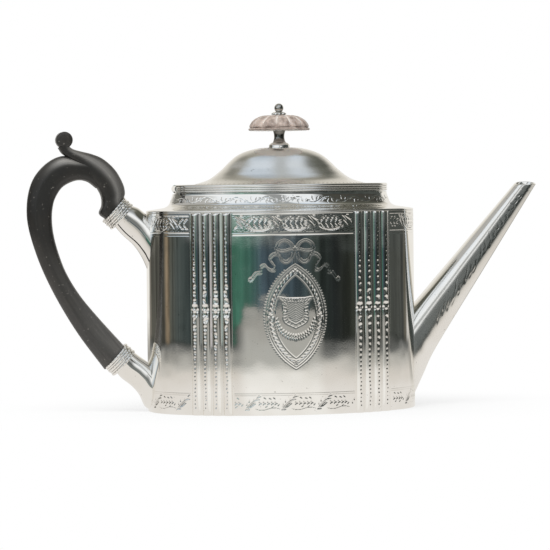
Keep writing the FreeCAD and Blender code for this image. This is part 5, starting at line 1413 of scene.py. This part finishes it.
    # Blue sky shows low in the left of the window only
    haze = add_node(tree, "ShaderNodeMapRange", {
        "Value": parts["X"], "From Min": -0.4, "From Max": -0.2, "To Max": 0.36})
    sky_height = add_node(tree, "ShaderNodeMath", {0: parts["Z"], 1: haze}, operation="MAXIMUM")
    daylight = add_node(tree, "ShaderNodeValToRGB", {"Fac": sky_height}, stops=(
        (0.12, "#C4D2DE"), (0.34, "#FDFEFE"), (0.8, "#E6EDF5"), (0.93, "#CDD8E4"), (0.985, "#ABB6C2")))
    mirrored = add_node(tree, "ShaderNodeMix", {0: pane, 6: shell, 7: daylight}, data_type="RGBA")
    shown = add_node(tree, "ShaderNodeBackground", {"Color": linear("#FFFFFF"), "Strength": 1.0})
    soft = add_node(tree, "ShaderNodeBackground", {"Color": linear("#F2F4F6"), "Strength": 0.75})
    mirror = add_node(tree, "ShaderNodeBackground", {"Color": mirrored, "Strength": 1.0})
    lit = add_node(tree, "ShaderNodeMixShader", {0: path["Is Glossy Ray"], 1: soft, 2: mirror})
    final = add_node(tree, "ShaderNodeMixShader", {0: path["Is Camera Ray"], 1: lit, 2: shown})
    add_node(tree, "ShaderNodeOutputWorld", {"Surface": final})
    return world


scene.world = studio_world()
softbox = bpy.data.lights.new("softbox", "AREA")
softbox.shape = "RECTANGLE"
softbox.size = 0.9
softbox.size_y = 0.6
softbox.energy = 7.0
softbox_object = bpy.data.objects.new("softbox", softbox)
softbox_object.location = (-0.3, -0.45, 1.0)
softbox_object.rotation_euler = (math.radians(24), math.radians(-17), 0)
softbox_object.visible_glossy = False
scene.collection.objects.link(softbox_object)

# Camera: a long lens about 1.4 m away, a little above the lid and a few degrees round to the handle side,
# with a slight roll, as the pot was photographed.
camera_data = bpy.data.cameras.new("camera")
camera_data.lens = 176.0
camera_data.sensor_width = 36.0
camera_data.clip_start = 0.05
camera = bpy.data.objects.new("camera", camera_data)
CAMERA_PLACE = np.array([-0.2238, -1.3820, 0.1153])
CAMERA_AIM = np.array([-0.00296, 0.00048, 0.0695])
CAMERA_ROLL = math.radians(-0.65)
away = CAMERA_PLACE - CAMERA_AIM
tilt = math.acos(away[2] / np.linalg.norm(away))
camera.location = CAMERA_PLACE.tolist()
camera.rotation_euler = (tilt, 0.0, math.atan2(away[0], -away[1]))
level_view = camera.rotation_euler.to_matrix()
camera.rotation_euler = (level_view @ Matrix.Rotation(CAMERA_ROLL, 3, "Z")).to_euler()
scene.collection.objects.link(camera)
scene.camera = camera
